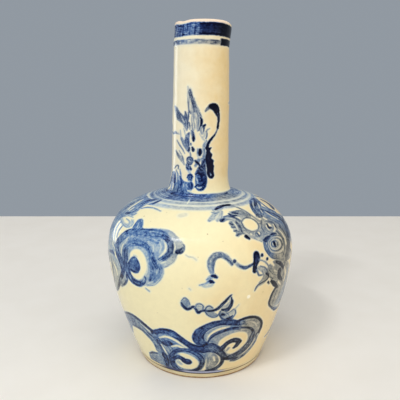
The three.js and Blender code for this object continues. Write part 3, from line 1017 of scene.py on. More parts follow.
# The cloud over the foot on the right
right_foot_cloud = [
    patch("wash", 0.39, [
        (240, 321), (249, 317), (257, 317.4), (261.4, 321), (260.4, 327), (257.6, 334),
        (253.6, 342), (247.6, 350), (240, 356.4), (230, 359.6), (222, 357), (224, 352), (219, 347),
        (206, 347), (203.6, 340), (205, 334), (211, 329.4), (220, 326), (231, 325.4),
    ]),
    patch("line", 0.79, [
        (240, 320.6), (232, 319), (222, 319.8), (213, 321.4), (205, 324.4), (198, 327.8),
        (194, 331.4), (192, 336), (192.6, 340.4), (196.4, 344.4), (203, 346), (208.4, 345.6),
        (205, 340), (204.6, 335.4), (208, 331), (214, 327.8), (222, 325.6), (232, 325.8),
        (240, 325.6),
    ]),
    line(0.84, [(200.6, 342.6, 3.4), (198.4, 337.4, 5), (200.6, 332.2, 3.8), (206.4, 328.2, 2)]),
    line(0.80, [
        (206, 344.4, 3), (209.4, 338.6, 3.8), (215, 334.2, 3.8), (223, 330.8, 3.8),
        (231, 328.6, 3.8), (240, 328, 3.4),
    ]),
    bare([
        (206.6, 341, 1.2), (209.4, 335.4, 2), (215, 331.2, 2.2), (222, 328.4, 2), (229, 327, 1.2),
    ]),
    wash(0.59, [(241, 323, 4), (246, 324, 3)]),
    line(0.91, [
        (237.6, 321.4, 2.4), (243.6, 319, 2.6), (250, 317.3, 2.8), (256.2, 317.4, 2.8),
        (260.4, 320, 2.8), (261.4, 324.4, 2.4), (259.6, 330, 2.2), (256.6, 335, 2.6),
    ]),
    line(0.54, [
        (256.6, 335.4, 2.2), (253.4, 342.6, 2.6), (248.4, 349, 3), (242.4, 354.8, 3),
        (235.6, 358.8, 2.8), (230.6, 360.4, 1.6),
    ]),
    line(0.73, [(236, 357.4, 2), (228, 358.6, 3), (222, 356.6, 3.4)]),
    line(0.77, [
        (241, 327.6, 2.4), (249, 327.6, 3), (253, 331, 3.6), (252, 336, 4.4), (249.6, 341.6, 4.4),
        (244.6, 347.8, 4.4), (237.4, 353.4, 4), (229.6, 356.4, 3.6),
    ]),
    bare([(254.8, 338, 0.3), (251, 344.6, 0.6), (245.2, 351, 0.6), (238.8, 356.4, 0.3)]),
    bare([(250, 321.6, 0.4), (254.6, 322.6, 1), (256.8, 326, 0.6)]),
    patch("bare", 0, [
        (217.4, 346.4), (219.4, 341), (225, 336.6), (233, 333), (240, 331.4), (246, 332),
        (248, 336), (246, 342), (241, 347.4), (235.4, 351.8), (230, 354), (226, 352.6),
        (224.6, 349), (221, 347),
    ]),
    line(0.90, [
        (239.6, 341.8, 4.4), (237.6, 340.4, 4.8), (233.6, 340.2, 4.2), (229, 342, 3.6),
        (225, 345.2, 3.6), (221.4, 348.8, 4.6),
    ]),
    line(0.87, [(238.8, 341.6, 4), (236.6, 345, 3.2), (234, 347.4, 2)]),
    wash(0.35, [(228.6, 348, 1.6), (226.6, 350.6, 1.4)]),
    patch("line", 0.82, [
        (188, 343), (196, 345.4), (204.6, 344.6), (212, 342.6), (218, 345), (222.4, 349),
        (226.4, 354), (228.4, 359.6), (222.6, 359.4), (217, 354.6), (210, 352.4), (203, 353.4),
        (197, 352), (190, 349),
    ]),
    line(0.74, [(200, 348.6, 2.4), (208, 347.4, 3), (214.6, 349.4, 2.4), (220.4, 353.6, 2)]),
    patch("wash", 0.41, [
        (204.6, 352), (210, 351.6), (216.6, 355), (218.6, 361.4), (213, 367.6), (206, 369),
        (206.6, 361), (206, 356),
    ]),
    bare([(213.6, 357, 2.4), (214.4, 360.6, 1.8)]),
    line(0.79, [
        (221.6, 355.6, 3.6), (222, 361, 3.6), (218.6, 366, 3), (212.6, 369.2, 2.6), (206, 370.4, 2),
    ]),
    line(0.30, [(209, 355.6, 1), (210.4, 361.4, 1.3), (208.6, 366, 1)]),
]
# The cloud over the foot on the left
left_foot_cloud = [
    patch("wash", 0.51, [
        (124, 311.4), (130, 313), (137, 317.6), (144, 323.6), (151, 329), (158, 329.6), (166, 329),
        (173, 331.8), (180, 337), (187, 342), (194, 345.6), (204, 347), (206, 353), (205.4, 362),
        (202, 369), (194, 372.8), (184, 373), (174, 371.2), (164, 367.6), (156, 363.6),
        (151, 358.4), (149.4, 353.4), (154, 351.8), (157.6, 352), (156.4, 346), (151.4, 339.4),
        (145, 332.6), (138, 327), (132.6, 325.6), (133.4, 332.6), (131, 329.6), (128, 321.4),
    ]),
    wash(0.63, [(127.6, 316, 4), (131, 320, 6), (134.6, 322, 4)]),
    line(0.81, [
        (124.8, 311.8, 1.6), (130.6, 314, 2), (137.4, 318.4, 2.2), (144.4, 324.2, 2.4),
        (151, 330, 2.6), (156.4, 333, 3.2),
    ]),
    line(0.46, [(125.4, 313.6, 1.1), (127.4, 319.4, 1.5), (130, 325.4, 1.6), (132.6, 332.6, 1.1)]),
    line(0.65, [
        (133, 324.4, 1.4), (140.6, 328.8, 1.8), (147.6, 335.4, 1.9), (153.6, 342.4, 1.9),
        (157.4, 350.4, 1.6),
    ]),
    line(0.73, [(147, 331.6, 1.3), (153, 337, 1.6), (158, 343.6, 1.6), (161.6, 350, 1.4)]),
    bare([(140.6, 323.6, 0.5), (148, 329.8, 1.1), (154.4, 335.6, 0.9)]),
    line(0.69, [(152.4, 334, 2), (158, 341.4, 2.6), (162, 349, 2.8), (163.6, 356, 3)]),
    wash(0.57, [(160, 338, 4), (166, 345, 6.6), (169.6, 352, 7), (170, 360, 7), (172, 367, 5.4)]),
    line(0.90, [
        (152, 332, 3.4), (158, 331.4, 4.8), (164.6, 331, 5.6), (171.4, 333, 6), (178, 337.6, 6),
        (184.6, 342.6, 6), (191.6, 346.6, 6.2), (199.6, 349, 6.8),
    ]),
    line(0.76, [(163, 331.6, 2), (170, 333.6, 2.4), (177, 338, 2.2)]),
    bare([
        (159.6, 337.4, 1.5), (166, 336.6, 2.3), (173.4, 339.2, 2.3), (181, 344, 2),
        (187.6, 348.2, 1.2),
    ]),
    patch("line", 0.80, [
        (160.4, 341.4), (165.6, 339.8), (170.8, 341.4), (174, 345), (170, 346.8), (164, 345.4),
    ]),
    bare([(161.4, 344.6, 1.1), (164.6, 350, 1.6), (167.4, 354.4, 0.9)]),
    bare([(171.6, 346.6, 1.4), (177, 345.8, 2.2), (182, 347.6, 1.9), (186.6, 349.6, 1)]),
    line(0.84, [(164.4, 354.6, 4), (166.6, 360, 5.2), (167.4, 365.4, 3.6)]),
    line(0.82, [
        (171.6, 355.4, 5), (174.6, 351.6, 4.6), (181, 350.2, 3.8), (189, 351, 4), (196, 353.8, 5),
        (201, 358, 5.6), (202.2, 363, 5.4), (198.8, 368, 4.4), (192.6, 371.2, 4), (185, 371.8, 4),
        (178.2, 369.8, 4.4), (174, 365.4, 5), (172, 360, 5.4), (171.4, 355, 4.8),
    ]),
    patch("bare", 0, [
        (177, 353.2), (183, 352.8), (190, 355), (196, 358.6), (199, 362.6), (197.6, 366.6),
        (192.4, 369), (185.4, 368.8), (179.4, 366.4), (176, 362.6), (176.6, 359.6), (180.6, 359.4),
        (184, 358.8), (181, 356),
    ]),
    line(0.90, [
        (187.6, 361.6, 5.4), (185, 360.9, 4.4), (181.6, 358.4, 3.8), (177.6, 357, 3.6),
        (173.4, 358.6, 3.8),
    ]),
    wash(0.22, [(178.4, 361.6, 2.2), (181, 363.8, 1.8)]),
    patch("wash", 0.47, [
        (149.4, 353), (153, 351.6), (158.4, 353), (163, 354.6), (164, 360), (159, 362),
        (153.4, 359.4),
    ]),
    line(0.74, [(149.9, 353.4, 2), (153, 352.4, 2.2), (157, 353.2, 1.4)]),
    line(0.48, [(151, 355.4, 1), (154.4, 358.8, 1.5), (159, 360.4, 1.5), (163, 358, 1.2)]),
    wash(0.61, [(155.6, 362, 2.4), (163, 366.2, 3.4), (171, 369.6, 3.4), (179, 372, 2.6)]),
    line(0.69, [(153.4, 361.4, 1.2), (161, 366, 1.6), (169, 370, 1.6)]),
    wash(0.47, [(186, 373, 1.8), (197, 372, 2.8), (207, 371.4, 2.8), (216, 370, 2)]),
]
# The dragon's head on the right: brow, eye, snout, mane, horns and whiskers
dragon_head = [
    patch("wash", 0.30, [
        (229, 211.6), (240, 210), (247, 212), (254, 216), (262, 222), (262, 228), (266, 233),
        (263, 240), (256, 239.6), (248, 236.6), (244.6, 233), (240, 235.4), (235, 230),
        (230.4, 223.6), (236, 220.6), (240.4, 222), (240, 217.6), (232, 215.6),
    ]),
    patch("wash", 0.38, [
        (262, 214), (270, 217), (278, 220), (284, 226), (288, 236), (290.4, 247), (290, 258),
        (284, 261), (278, 259.4), (272, 257), (267.6, 252), (264.4, 245), (263, 240), (267, 235.4),
        (262.6, 230), (260.6, 222),
    ]),
    wash(0.44, [(214.6, 210.4, 3), (219, 208.4, 3.6), (222, 207, 2)]),
    wash(0.30, [(219.6, 209.4, 3.4), (216, 212.6, 5.4), (214, 216.8, 6), (209.4, 220.6, 3.4)]),
    wash(0.30, [(221.6, 211.6, 3), (220.4, 217, 4), (217.4, 220.6, 3)]),
    line(0.42, [(212, 212.4, 1.2), (215.4, 213.6, 1.6), (218.6, 212.4, 1.2)]),
    line(0.36, [(209.6, 218.4, 1), (213, 219.6, 1.3), (216.6, 217.6, 1.1)]),
    bare([(217.6, 215.4, 0.9), (215.6, 218, 0.7)]),
    line(0.78, [(215.8, 209.4, 2.4), (219.4, 207.2, 3.2), (223.4, 205.8, 2.4)]),
    line(0.98, [(220.4, 206, 1.2), (225, 205.4, 2.2), (229.6, 205, 2), (233, 205.8, 1)]),
    line(0.46, [
        (232, 205.6, 1.2), (237, 207.2, 1.4), (244.6, 210.8, 1.3), (251, 215, 1.3),
        (256.4, 219.6, 1.4), (261, 225, 1.5),
    ]),
    bare([(239, 210.4, 0.4), (246, 213.6, 0.8), (254, 218.8, 0.9), (259, 222.6, 0.5)]),
    wash(0.52, [
        (222.6, 220.4, 4), (226.4, 218.4, 4.2), (231, 218.2, 4), (236, 219.4, 4), (240, 221.6, 3.6),
    ]),
    bare([(226.6, 218.8, 0.5), (231, 218.4, 0.7), (235, 219.4, 0.5)]),
    line(0.90, [(221.4, 220.8, 3.6), (224, 218.9, 2.4)]),
    line(0.66, [(223.6, 217, 1.3), (229, 216, 1.5), (234.4, 217.6, 1.4)]),
    wash(0.50, [(233.4, 213, 2.4), (240.6, 212.2, 4), (246.4, 214.2, 4), (249.6, 218, 2.6)]),
    line(0.76, [(229.2, 214, 1.6), (232.4, 215.6, 2), (236.6, 215.6, 1.5)]),
    line(0.80, [(232.6, 212.8, 1.6), (237.4, 213.4, 1.9)]),
    line(0.50, [(240.6, 214.6, 1.1), (245, 215.6, 1.3), (248.6, 218.4, 1.1)]),
    patch("wash", 0.44, [
        (229.4, 221.4), (236, 220.4), (240.6, 223.6), (243.4, 228.6), (245.8, 234), (241, 234.6),
        (238.2, 237), (235.2, 231.8), (232, 227.6), (229, 224),
    ]),
    line(0.74, [(230, 223.4, 1.6), (232.8, 224.6, 2)]),
    line(0.74, [(232.2, 227.4, 1.8), (235, 227.4, 1.8)]),
    line(0.72, [(234.4, 231, 1.8), (237, 230.4, 1.6)]),
    line(0.76, [(236.8, 235.4, 2.2), (239, 233.6, 1.8)]),
    line(0.72, [(236.4, 222.4, 2.2), (239.8, 226.6, 2.4), (242, 231.6, 2)]),
    bare([(233.4, 222.2, 1), (236.2, 225.8, 1.2), (238, 230, 1)]),
    patch("bare", 0, [
        (242, 222), (245.4, 218.6), (250.4, 218.4), (255.6, 221.6), (258.4, 226), (257, 229.6),
        (252, 230.6), (246.4, 228.4),
    ]),
    line(0.56, [
        (241, 222.4, 1.6), (244.4, 218.4, 1.3), (250, 218, 1.3), (255.6, 221, 1.4), (259, 226, 1.4),
        (257.8, 230, 1.3),
    ]),
    line(0.58, [
        (241.4, 223, 1.7), (244, 227.6, 1.7), (248.4, 230.4, 1.6), (253, 231.8, 1.5),
        (257.6, 230, 1.4),
    ]),
    wash(0.36, [(246.4, 232, 4), (251, 234.6, 5), (256, 237.4, 4), (261.4, 240, 3.4)]),
    line(0.96, [(246.2, 236.4, 3.4), (249.2, 238.4, 2.2)]),
    bare([(251.2, 234.4, 2)]),
    bare([(258.2, 233.8, 4.6)]),
    ring("line", 0.58, (258.2, 233.8), 2.8, 1.3),
    line(0.72, [(257.2, 233.4, 1.6), (259, 235.8, 1.4)]),
    wash(0.40, [(262.4, 222, 3.4), (262.6, 228, 4.6), (265.6, 232.4, 4.4), (271.6, 233.6, 3.6)]),
    line(0.58, [(261.4, 220.6, 1.4), (261.4, 226.6, 1.9), (264.4, 231.4, 1.9)]),
    bare([(269.2, 226.8, 8)]),
    ring("line", 0.50, (269.2, 226.8), 4.3, 1.2),
    line(0.82, [(267.6, 224.8, 1.6), (269, 227.6, 2.2), (271.8, 227.4, 1.4)]),
    bare([(273.6, 224.6, 1.2), (275, 229, 1.4), (273.4, 232, 1)]),
    patch("line", 0.80, [
        (262.4, 240), (265.4, 236.6), (269, 235), (272, 232.4), (276.4, 233), (277.4, 237.4),
        (274.4, 239.6), (271, 239.6), (268.6, 242), (264.6, 242.6),
    ]),
    wash(0.52, [(265.4, 243.4, 3.6), (268, 248.4, 4.4), (271, 253, 4.2), (275.6, 256, 3.4)]),
    line(0.66, [
        (264, 243, 1.5), (265.4, 248.8, 1.7), (268.6, 254, 1.7), (273, 258, 1.8), (278.8, 259, 1.5),
    ]),
    bare([(266.8, 243.6, 1.2), (269.2, 248.4, 1.3), (272, 252, 0.9)]),
    bare([(274.6, 243.8, 6.2)]),
    ring("line", 0.66, (274.6, 243.8), 3.2, 1.2),
    line(1.0, [(274.2, 242.9, 2.4), (274.9, 244.3, 2.6)]),
    ring("bare", 0, (275.2, 244.2), 5, 0.9),
    ring("line", 0.62, (275.6, 244.4), 6.6, 1.3),
    ring("bare", 0, (276.2, 244.6), 8, 0.8),
    ring("line", 0.58, (276.8, 244.8), 9.4, 1.2),
    line(0.60, [
        (276.6, 231, 1.3), (281, 235.6, 1.4), (283.8, 242, 1.4), (284.4, 249.6, 1.3),
        (283, 256, 1.1),
    ]),
    bare([(278.6, 229.6, 0.7), (283.2, 235, 0.9), (286, 243, 0.9), (286.4, 252, 0.7)]),
    line(0.66, [
        (279.6, 226.6, 1.5), (284.8, 233, 1.6), (287.6, 242, 1.6), (288, 252, 1.4),
        (286.6, 260, 1.1),
    ]),
    line(0.56, [(276, 222.4, 1.2), (271, 219.6, 1.2), (266.6, 219.4, 1)]),
    bare([(264, 217.6, 1.6), (266.6, 219.6, 1.3)]),
    line(0.97, [(262.2, 255.2, 3.4)]),
    line(0.90, [(267.4, 258.9, 3.2)]),
    line(0.52, [(259.6, 260, 1.2), (263.6, 261, 1.4), (267.4, 264, 1.5), (270, 268.6, 1.4)]),
    wash(0.36, [
        (258.6, 268, 3.4), (262.6, 269.4, 5), (265.8, 273.6, 5), (265, 279, 4.6),
        (260.6, 283.4, 3.4),
    ]),
    line(0.62, [(257.4, 270.6, 1.8), (259.2, 275, 2.2), (262.8, 275, 1.4)]),
    line(0.60, [
        (260.4, 266.4, 1.4), (265, 267.6, 1.5), (268.2, 272.2, 1.5), (268.6, 277.6, 1.4),
        (264, 281.8, 1.6), (259, 284.8, 1.5), (256.4, 288, 1.5), (255, 290.6, 0.9),
    ]),
    line(0.40, [(262.6, 270.6, 1), (264.2, 275.4, 1.3), (262.4, 279.6, 1)]),
    line(0.88, [(266.4, 273.4, 2), (268.8, 276, 1.9)]),
    line(0.88, [(268.4, 282.2, 2.4), (269.4, 283.6, 1.5)]),
    patch("wash", 0.42, [
        (268.6, 265.4), (276, 259.6), (284, 259), (289, 263), (288, 274), (286, 283), (283.4, 291),
        (277, 289), (271.6, 283), (270, 276), (267.4, 270.6),
    ]),
    bare([(271.6, 262.6, 3), (274.2, 265.4, 2)]),
    line(0.82, [(276.4, 262, 3), (280.6, 263.4, 4.4), (283.6, 267.4, 3.4)]),
    line(0.64, [(269.6, 270.6, 1.4), (273, 274, 1.9), (276.8, 275.4, 1.4)]),
    line(0.86, [(279.8, 271, 3.2), (279.4, 276, 4), (282, 279.4, 2.8)]),
    bare([(284.6, 266, 0.9), (285.6, 273, 1.3), (284, 280, 1.1)]),
    bare([(274.6, 270.4, 1.3), (277, 271.6, 0.9)]),
    line(0.96, [(271.6, 281, 3.2), (274.4, 283.6, 5), (277.4, 287, 3)]),
    line(0.70, [(270.2, 276.8, 1.4), (273.2, 279, 1.7)]),
    bare([(278.4, 281.6, 2), (280.6, 284.6, 1.3)]),
    patch("wash", 0.36, [
        (275, 288.4), (272, 294), (270, 299.6), (269, 304), (272, 308.4), (276.6, 305), (281, 299),
        (284, 292), (286.6, 284), (281, 286),
    ]),
    line(0.84, [
        (275.4, 288.2, 1.6), (272.4, 293.6, 1.9), (270.2, 299.4, 2), (269.2, 304, 1.9),
        (271.8, 308, 1.6),
    ]),
    line(0.44, [
        (285, 286, 1.4), (282.8, 294, 1.5), (279.6, 301.6, 1.6), (275.6, 306.8, 1.5),
        (272.2, 308.4, 1.3),
    ]),
    line(0.46, [(276.8, 290.6, 1), (274.4, 297.4, 1.2), (273, 303, 1.1)]),
    line(0.42, [(280.6, 288.6, 1), (278.2, 296, 1.2), (276, 302, 1.1)]),
]
# The scroll behind the dragon's horns, on the right shoulder
right_shoulder_scroll = [
    patch("line", 0.62, [
        (249, 200.4), (252, 197.8), (257, 198.8), (260.4, 203.4), (262, 209), (264.6, 214.6),
        (261.4, 218), (256.6, 216.8), (252.8, 212), (249.8, 206),
    ]),
    line(0.74, [(249.8, 200.4, 1.6), (250.6, 204.4, 2), (252.4, 208.6, 1.5)]),
    line(0.86, [(254.4, 198.8, 1.6), (255.6, 202, 2.2), (254.8, 205.6, 1.5)]),
    line(0.72, [(255, 209.4, 1.6), (257.8, 213.4, 2.4), (261, 216.4, 2)]),
    bare([(252.6, 200.4, 0.4), (252.9, 204, 0.6), (254, 208, 0.4)]),
    bare([(257.4, 203, 0.4), (259, 207, 0.6), (261.4, 211.6, 0.4)]),
    bare([(249.4, 208.2, 1.1), (251.4, 211.6, 1.8), (254.6, 214.8, 1.3)]),
    bare([(258.6, 204.6, 0.5), (260.2, 209, 0.7), (262.6, 213, 0.5)]),
    patch("wash", 0.48, [
        (261, 205.6), (268, 208.6), (276, 212.6), (284, 217.6), (290, 226), (292.6, 236),
        (289, 243), (286.6, 236), (283.6, 229), (278.6, 223.4), (271, 219.4), (264, 217),
    ]),
    line(0.72, [
        (262, 209.6, 2), (269, 212.8, 2.4), (276.4, 216, 2.8), (282.8, 220.8, 3), (287.2, 228, 2.8),
        (289, 236, 2.2),
    ]),
    line(0.84, [(283.6, 222.6, 2.4), (286.6, 228.6, 3), (288, 235, 2.4)]),
    line(0.52, [(263.4, 216, 1.1), (270, 218.6, 1.4), (277, 222.4, 1.4), (282.6, 228.4, 1.4)]),
    bare([(265.4, 211.8, 0.6), (272, 216, 0.8), (278.4, 219.8, 0.6)]),
    line(0.60, [
        (254.8, 195.8, 1.3), (261.6, 198, 1.5), (267.8, 200.8, 1.6), (273, 204.8, 1.6),
        (277, 209.4, 1.3),
    ]),
    line(0.93, [(261.4, 199.8, 1.4), (265.6, 201.8, 2.6), (270.4, 205.2, 3.4), (272.6, 208.2, 2)]),
    line(0.62, [(256.6, 199.4, 1.1), (262.6, 204, 1.3), (269, 208.8, 1.4), (275.6, 212.2, 1.3)]),
    line(0.64, [(262.4, 222.4, 1.1), (267.4, 221, 1.3), (272.8, 222.6, 1.3), (276, 227, 1.3)]),
    wash(0.64, [(284.4, 222, 3), (287.6, 231, 4.4), (288.8, 242, 4.4), (288.2, 254, 3.6)]),
    line(0.60, [(286.6, 246, 0.9), (286, 256, 1.2), (284.6, 266, 0.8)]),
]

# The dragon's body runs on round the back, in and out of clouds: degrees from the front and
# millimetres up, along the spine from behind the head to the tail. A degree covers 1.08 mm there.
dragon_spine = [
    (84, 70), (98, 84), (114, 88), (130, 76), (143, 58), (160, 49), (178, 56), (192, 74),
    (208, 86), (226, 83), (242, 70), (256, 66),
]
degree_span = 1.08


def spine_frame(points, count):
    """Places evenly along a curve through the points, laid flat in millimetres, with the unit step
    ahead and the unit step sideways at each."""
    flat = np.array([(u * degree_span, v) for u, v in points])
    path, _ = smooth_path(flat, np.zeros(len(flat)))
    length = length_along(path)
    at = np.linspace(0, length[-1], count)
    even = np.stack([np.interp(at, length, part) for part in path.T], axis=-1)
    ahead = np.gradient(even, axis=0)
    ahead /= np.linalg.norm(ahead, axis=1)[:, None]
    return even, ahead, np.stack([-ahead[:, 1], ahead[:, 0]], axis=-1)


def dragon_body(points, breadth):
    """Strokes of a scaled body along a spine, in places forward along it and across it in halves
    of its breadth: a wash between two outlines, a belly line with bars, rows of small arcs for
    scales, and fins that lean back from the upper edge."""
    count = 61
    scale = [(-1.0, -0.20), (0.3, -0.19), (0.9, 0.0), (0.3, 0.19), (-1.0, 0.20)]
    even, ahead, side = spine_frame(points, count)
    share = np.linspace(0, 1, count)
    half = breadth / 2 * np.minimum(1, 1.25 - share) * (0.9 + 0.1 * np.sin(share * 9))

    def at(k, forward, across):
        """A place on the body, in degrees and millimetres."""
        spot = even[k] + ahead[k] * forward + side[k] * across * half[k]
        return spot[0] / degree_span, spot[1]

    every = range(0, count, 3)
    strokes = [bare([(*at(k, 0, 0), half[k] * 2.5) for k in every])]
    strokes.append(wash(0.38, [(*at(k, 0, 0.1), half[k] * 1.7) for k in every]))
    strokes.append(line(0.94, [(*at(k, 0, 1), 1.4 + 0.6 * math.sin(k * 0.9)) for k in every]))
    strokes.append(line(0.90, [(*at(k, 0, -1), 1.6 + 0.5 * math.sin(k * 0.7 + 1)) for k in every]))
    strokes.append(line(0.70, [(*at(k, 0, -0.52), 0.8) for k in every]))
    for k in range(1, count - 2):
        bar = [(0, -0.94, 0.7), (0.6, -0.74, 0.8), (0.7, -0.55, 0.5)]
        strokes.append(line(0.45, [(*at(k, f, a), width) for f, a, width in bar]))
    for k in range(1, count - 3):
        for row, back in ((-0.22, 0.0), (0.22, 0.9), (0.66, 0.0)):
            strokes.append(line(0.74, [(*at(k, f + back, row + a), 0.8) for f, a in scale]))
    for k in range(1, count - 4, 2):
        fin = [(0, 1.02, 2.0), (1.2, 1.3, 1.5), (2.5 + 0.4 * math.sin(k * 1.7), 1.62, 0.4)]
        strokes.append(line(0.92, [(*at(k, f, a), width) for f, a, width in fin]))
    return strokes


def curl(centre, size, turns, start, hand=1):
    """Points of a spiral that opens from its centre, in degrees and millimetres: the radius grows
    with the angle, and the width with the radius."""
    first_radius, breadth = 0.16, 0.19
    angle = np.linspace(0, turns * 2 * math.pi, int(turns * 10) + 2)
    radius = size * (first_radius + (1 - first_radius) * angle / angle[-1])
    u = centre[0] + radius * np.cos(start + hand * angle) / degree_span
    v = centre[1] + radius * np.sin(start + hand * angle)
    return [(a, b, breadth * size * (0.7 + 0.5 * r / size)) for a, b, r in zip(u, v, radius)]


def spot(kind, tone, centre, width):
    """A round spot: a stroke so short that only its width shows."""
    return kind, tone, [(*centre, width), (centre[0] + 0.1, centre[1], width)]


def curled_cloud(centre, size, hand=1):
    """A cloud of three curls on a washed ground, with a tail that trails off to one side: places,
    reaches and widths are shares of its size, mirrored by hand."""
    lobes = [(-0.9, -0.1, 0.62, 2.6), (0.0, 0.32, 0.78, 1.2), (0.95, -0.06, 0.58, 0.2)]
    tail = [(1.2, -0.5, 0.20), (1.9, -0.72, 0.26), (2.7, -0.60, 0.22), (3.4, -0.72, 0.06)]

    def at(across, up):
        """A place in the cloud, in degrees and millimetres."""
        return centre[0] + hand * across * size / degree_span, centre[1] + up * size

    strokes = [spot("bare", 0, at(a, b), reach * size * 2.5) for a, b, reach, _ in lobes]
    strokes += [spot("wash", 0.42, at(a, b), reach * size * 2.1) for a, b, reach, _ in lobes]
    for a, b, reach, start in lobes:
        strokes.append(bare(curl(at(a, b), reach * size * 0.8, 1.3, start + 0.5, hand)))
        strokes.append(line(0.88, curl(at(a, b), reach * size, 1.45, start, hand)))
    strokes.append(wash(0.44, [(*at(a, b), w * size) for a, b, w in tail]))
    strokes.append(line(0.66, [(*at(a, b + 0.1), 0.3 * w * size) for a, b, w in tail]))
    return strokes


def flame(foot, height, lean):
    """A licking flame of three tongues, in degrees and millimetres: each goes up by a share of the
    height and leans with it."""
    tongue = [(0, 0, 1.6), (-0.16, 0.35, 1.9), (0.10, 0.70, 1.3), (0.0, 1.0, 0.3)]
    strokes = []
    for shift, reach, tone in ((-2.0, 0.75, 0.55), (0.0, 1.0, 0.72), (2.2, 0.7, 0.5)):
        points = []
        for across, up, width in tongue:
            u = foot[0] + shift + (across * height + lean * up * reach) / degree_span
            points.append((u, foot[1] + up * reach * height, width))
        strokes.append(line(tone, points))
    return strokes


back_of_body = [
    *dragon_body(dragon_spine, 17),
    *flame((118, 96), 9, -3),
    *flame((205, 93), 9, 3),
    *curled_cloud((136, 88), 8.5, -1),
    *curled_cloud((170, 78), 7.5, 1),
    *curled_cloud((104, 52), 8, 1),
    *curled_cloud((226, 56), 9, -1),
    *curled_cloud((252, 96), 7, 1),
    *curled_cloud((92, 70), 8, 1),
    *curled_cloud((176, 99), 7.5, -1),
]

# The tuft at the end of the dragon's tail
tail_tuft = [
    line(0.86, [(254, 66, 3.4), (259, 63, 2.6), (264, 62.6, 1.8), (268, 64, 0.5)]),
    line(0.80, [(254, 65.4, 3), (258, 60.6, 2.4), (262, 57.4, 1.6), (266, 56.6, 0.5)]),
    line(0.74, [(254, 66.8, 3), (259, 67.4, 2.2), (263, 69.6, 1.4), (266, 73, 0.5)]),
    wash(0.5, [(254, 66, 6), (258, 64.4, 5.4), (262, 63.4, 3)]),
]

# What the front's motifs come to round the sides: the shoulder cloud's scalloped end, the locks of
# the mane, the jaw's edge, and the tail of the cloud at the foot.
scallops = [(-113, 107.6), (-102, 101.6), (-92, 93), (-85, 83), (-81, 73), (-70, 65.4)]
scalloped_end = []


def beside(start, end, share, out):
    """A place at a share of the way between two, moved out square to it by a part of its length."""
    (u0, v0), (u1, v1) = start, end
    return u0 + (u1 - u0) * share - (v0 - v1) * out, v0 + (v1 - v0) * share + (u0 - u1) * out


for start, end in zip(scallops, scallops[1:]):
    inside = beside(start, end, 0.5, -0.34)
    bulged = wash(0.5, [(*start, 1), (*beside(start, end, 0.5, 0.28), 4.2), (*end, 1)])
    arc = [(s, math.sin(s * math.pi) ** 0.6) for s in (0, 0.12, 0.32, 0.5, 0.68, 0.88, 1)]
    scalloped_end += [
        bulged,
        bare(curl(inside, 4.0, 1.1, 2.2)),
        line(0.84, curl(inside, 4.8, 1.3, 1.6)),
        line(0.92, [(*beside(start, end, s, 0.42 * out), 1 + out) for s, out in arc]),
    ]
locks = [(77, 95, 14, -2), (76, 90.5, 15, -3), (75, 86, 14, -3.4), (75, 81.6, 12, -3)]
mane_locks = []
for u, v, reach, drop in locks:
    u_middle, v_middle = u + reach * 0.55, v + drop * 0.2 + 1.6
    tip = (u + reach - 1, v + drop - 1.4, 0.4)
    mane_locks += [
        line(0.90, [(u, v, 1), (u_middle, v_middle, 2.4), (u + reach, v + drop, 0.5)]),
        bare([(u + 1, v - 1.9, 0.5), (u_middle, v_middle - 2.2, 1.1), tip]),
    ]
jaw_edge = [
    line(0.80, [
        (50, 46.6, 1.2), (57, 41.6, 1.8), (65, 41, 2), (70.6, 43.8, 1.8), (69.6, 48.6, 1.6),
        (66, 51.6, 0.9),
    ]),
    bare([(56, 44.4, 0.6), (62, 43, 1.2), (68, 44.6, 0.8)]),
    line(0.66, [(60, 47.6, 0.8), (64, 46.4, 1.4), (68, 48, 0.9)]),
    line(0.80, [(66, 82, 1), (71, 77, 1.6), (73, 70.6, 1.6), (70, 66.4, 1)]),
]
cloud_tail = [
    wash(0.52, [(-69, 26.4, 8), (-77, 26, 5.4), (-86, 23.4, 3.4), (-97, 20.6, 1)]),
    line(0.86, [(-67, 31.4, 1.4), (-76, 29.6, 2), (-86, 25.4, 1.8), (-98, 21, 0.7)]),
    line(0.78, [(-69.6, 17.4, 1), (-74, 21.4, 1.6), (-82, 22.4, 1.6), (-95, 20.6, 0.6)]),
]
front_of_body = [
    left_cloud,
    left_shoulder_cloud,
    middle_curl,
    wave,
    right_foot_cloud,
    left_foot_cloud,
    dragon_head,
    right_shoulder_scroll,
]
scratch_through_rings = bare([(189.4, 199.8, 1.2), (188.6, 201.6, 1.4), (187, 204, 1)])

# Rings that the brush leaves on the shoulder while the wheel turns: radii in millimetres, from the
# neck's foot outwards, and how dark the thinned colour is there on the left, in front and right.
shoulder_rings = [
    (21.4, 0.74, 0.80, 0.60), (22.5, 0.52, 0.72, 0.48), (23.5, 0.58, 0.66, 0.54),
    (24.7, 0.54, 0.66, 0.48), (25.7, 0.28, 0.56, 0.52), (26.9, 0.56, 0.66, 0.50),
    (27.9, 0.38, 0.58, 0.38), (28.4, 0.54, 0.52, 0.32), (29.7, 0.16, 0.05, 0.04),
    (30.9, 0.62, 0.27, 0.26), (31.3, 0.60, 0.30, 0.48), (32.3, 0.46, 0.26, 0.42),
    (33.4, 0.03, 0.05, 0.12), (34.5, 0.06, 0.04, 0.05), (35.5, 0.38, 0.28, 0.32),
    (36.5, 0.34, 0.24, 0.34), (37.6, 0.24, 0.20, 0.26), (38.6, 0.08, 0.06, 0.06),
]


def climb_to(radius=None, height=None):
    """The length up the outline, in millimetres, to a radius of the shoulder or to a height."""
    if height is None:
        height = np.interp(radius / 1000, upper_rows[::-1, 0], upper_rows[::-1, 1])
    return float(np.interp(height, outline[:, 1], outline_length)) * 1000


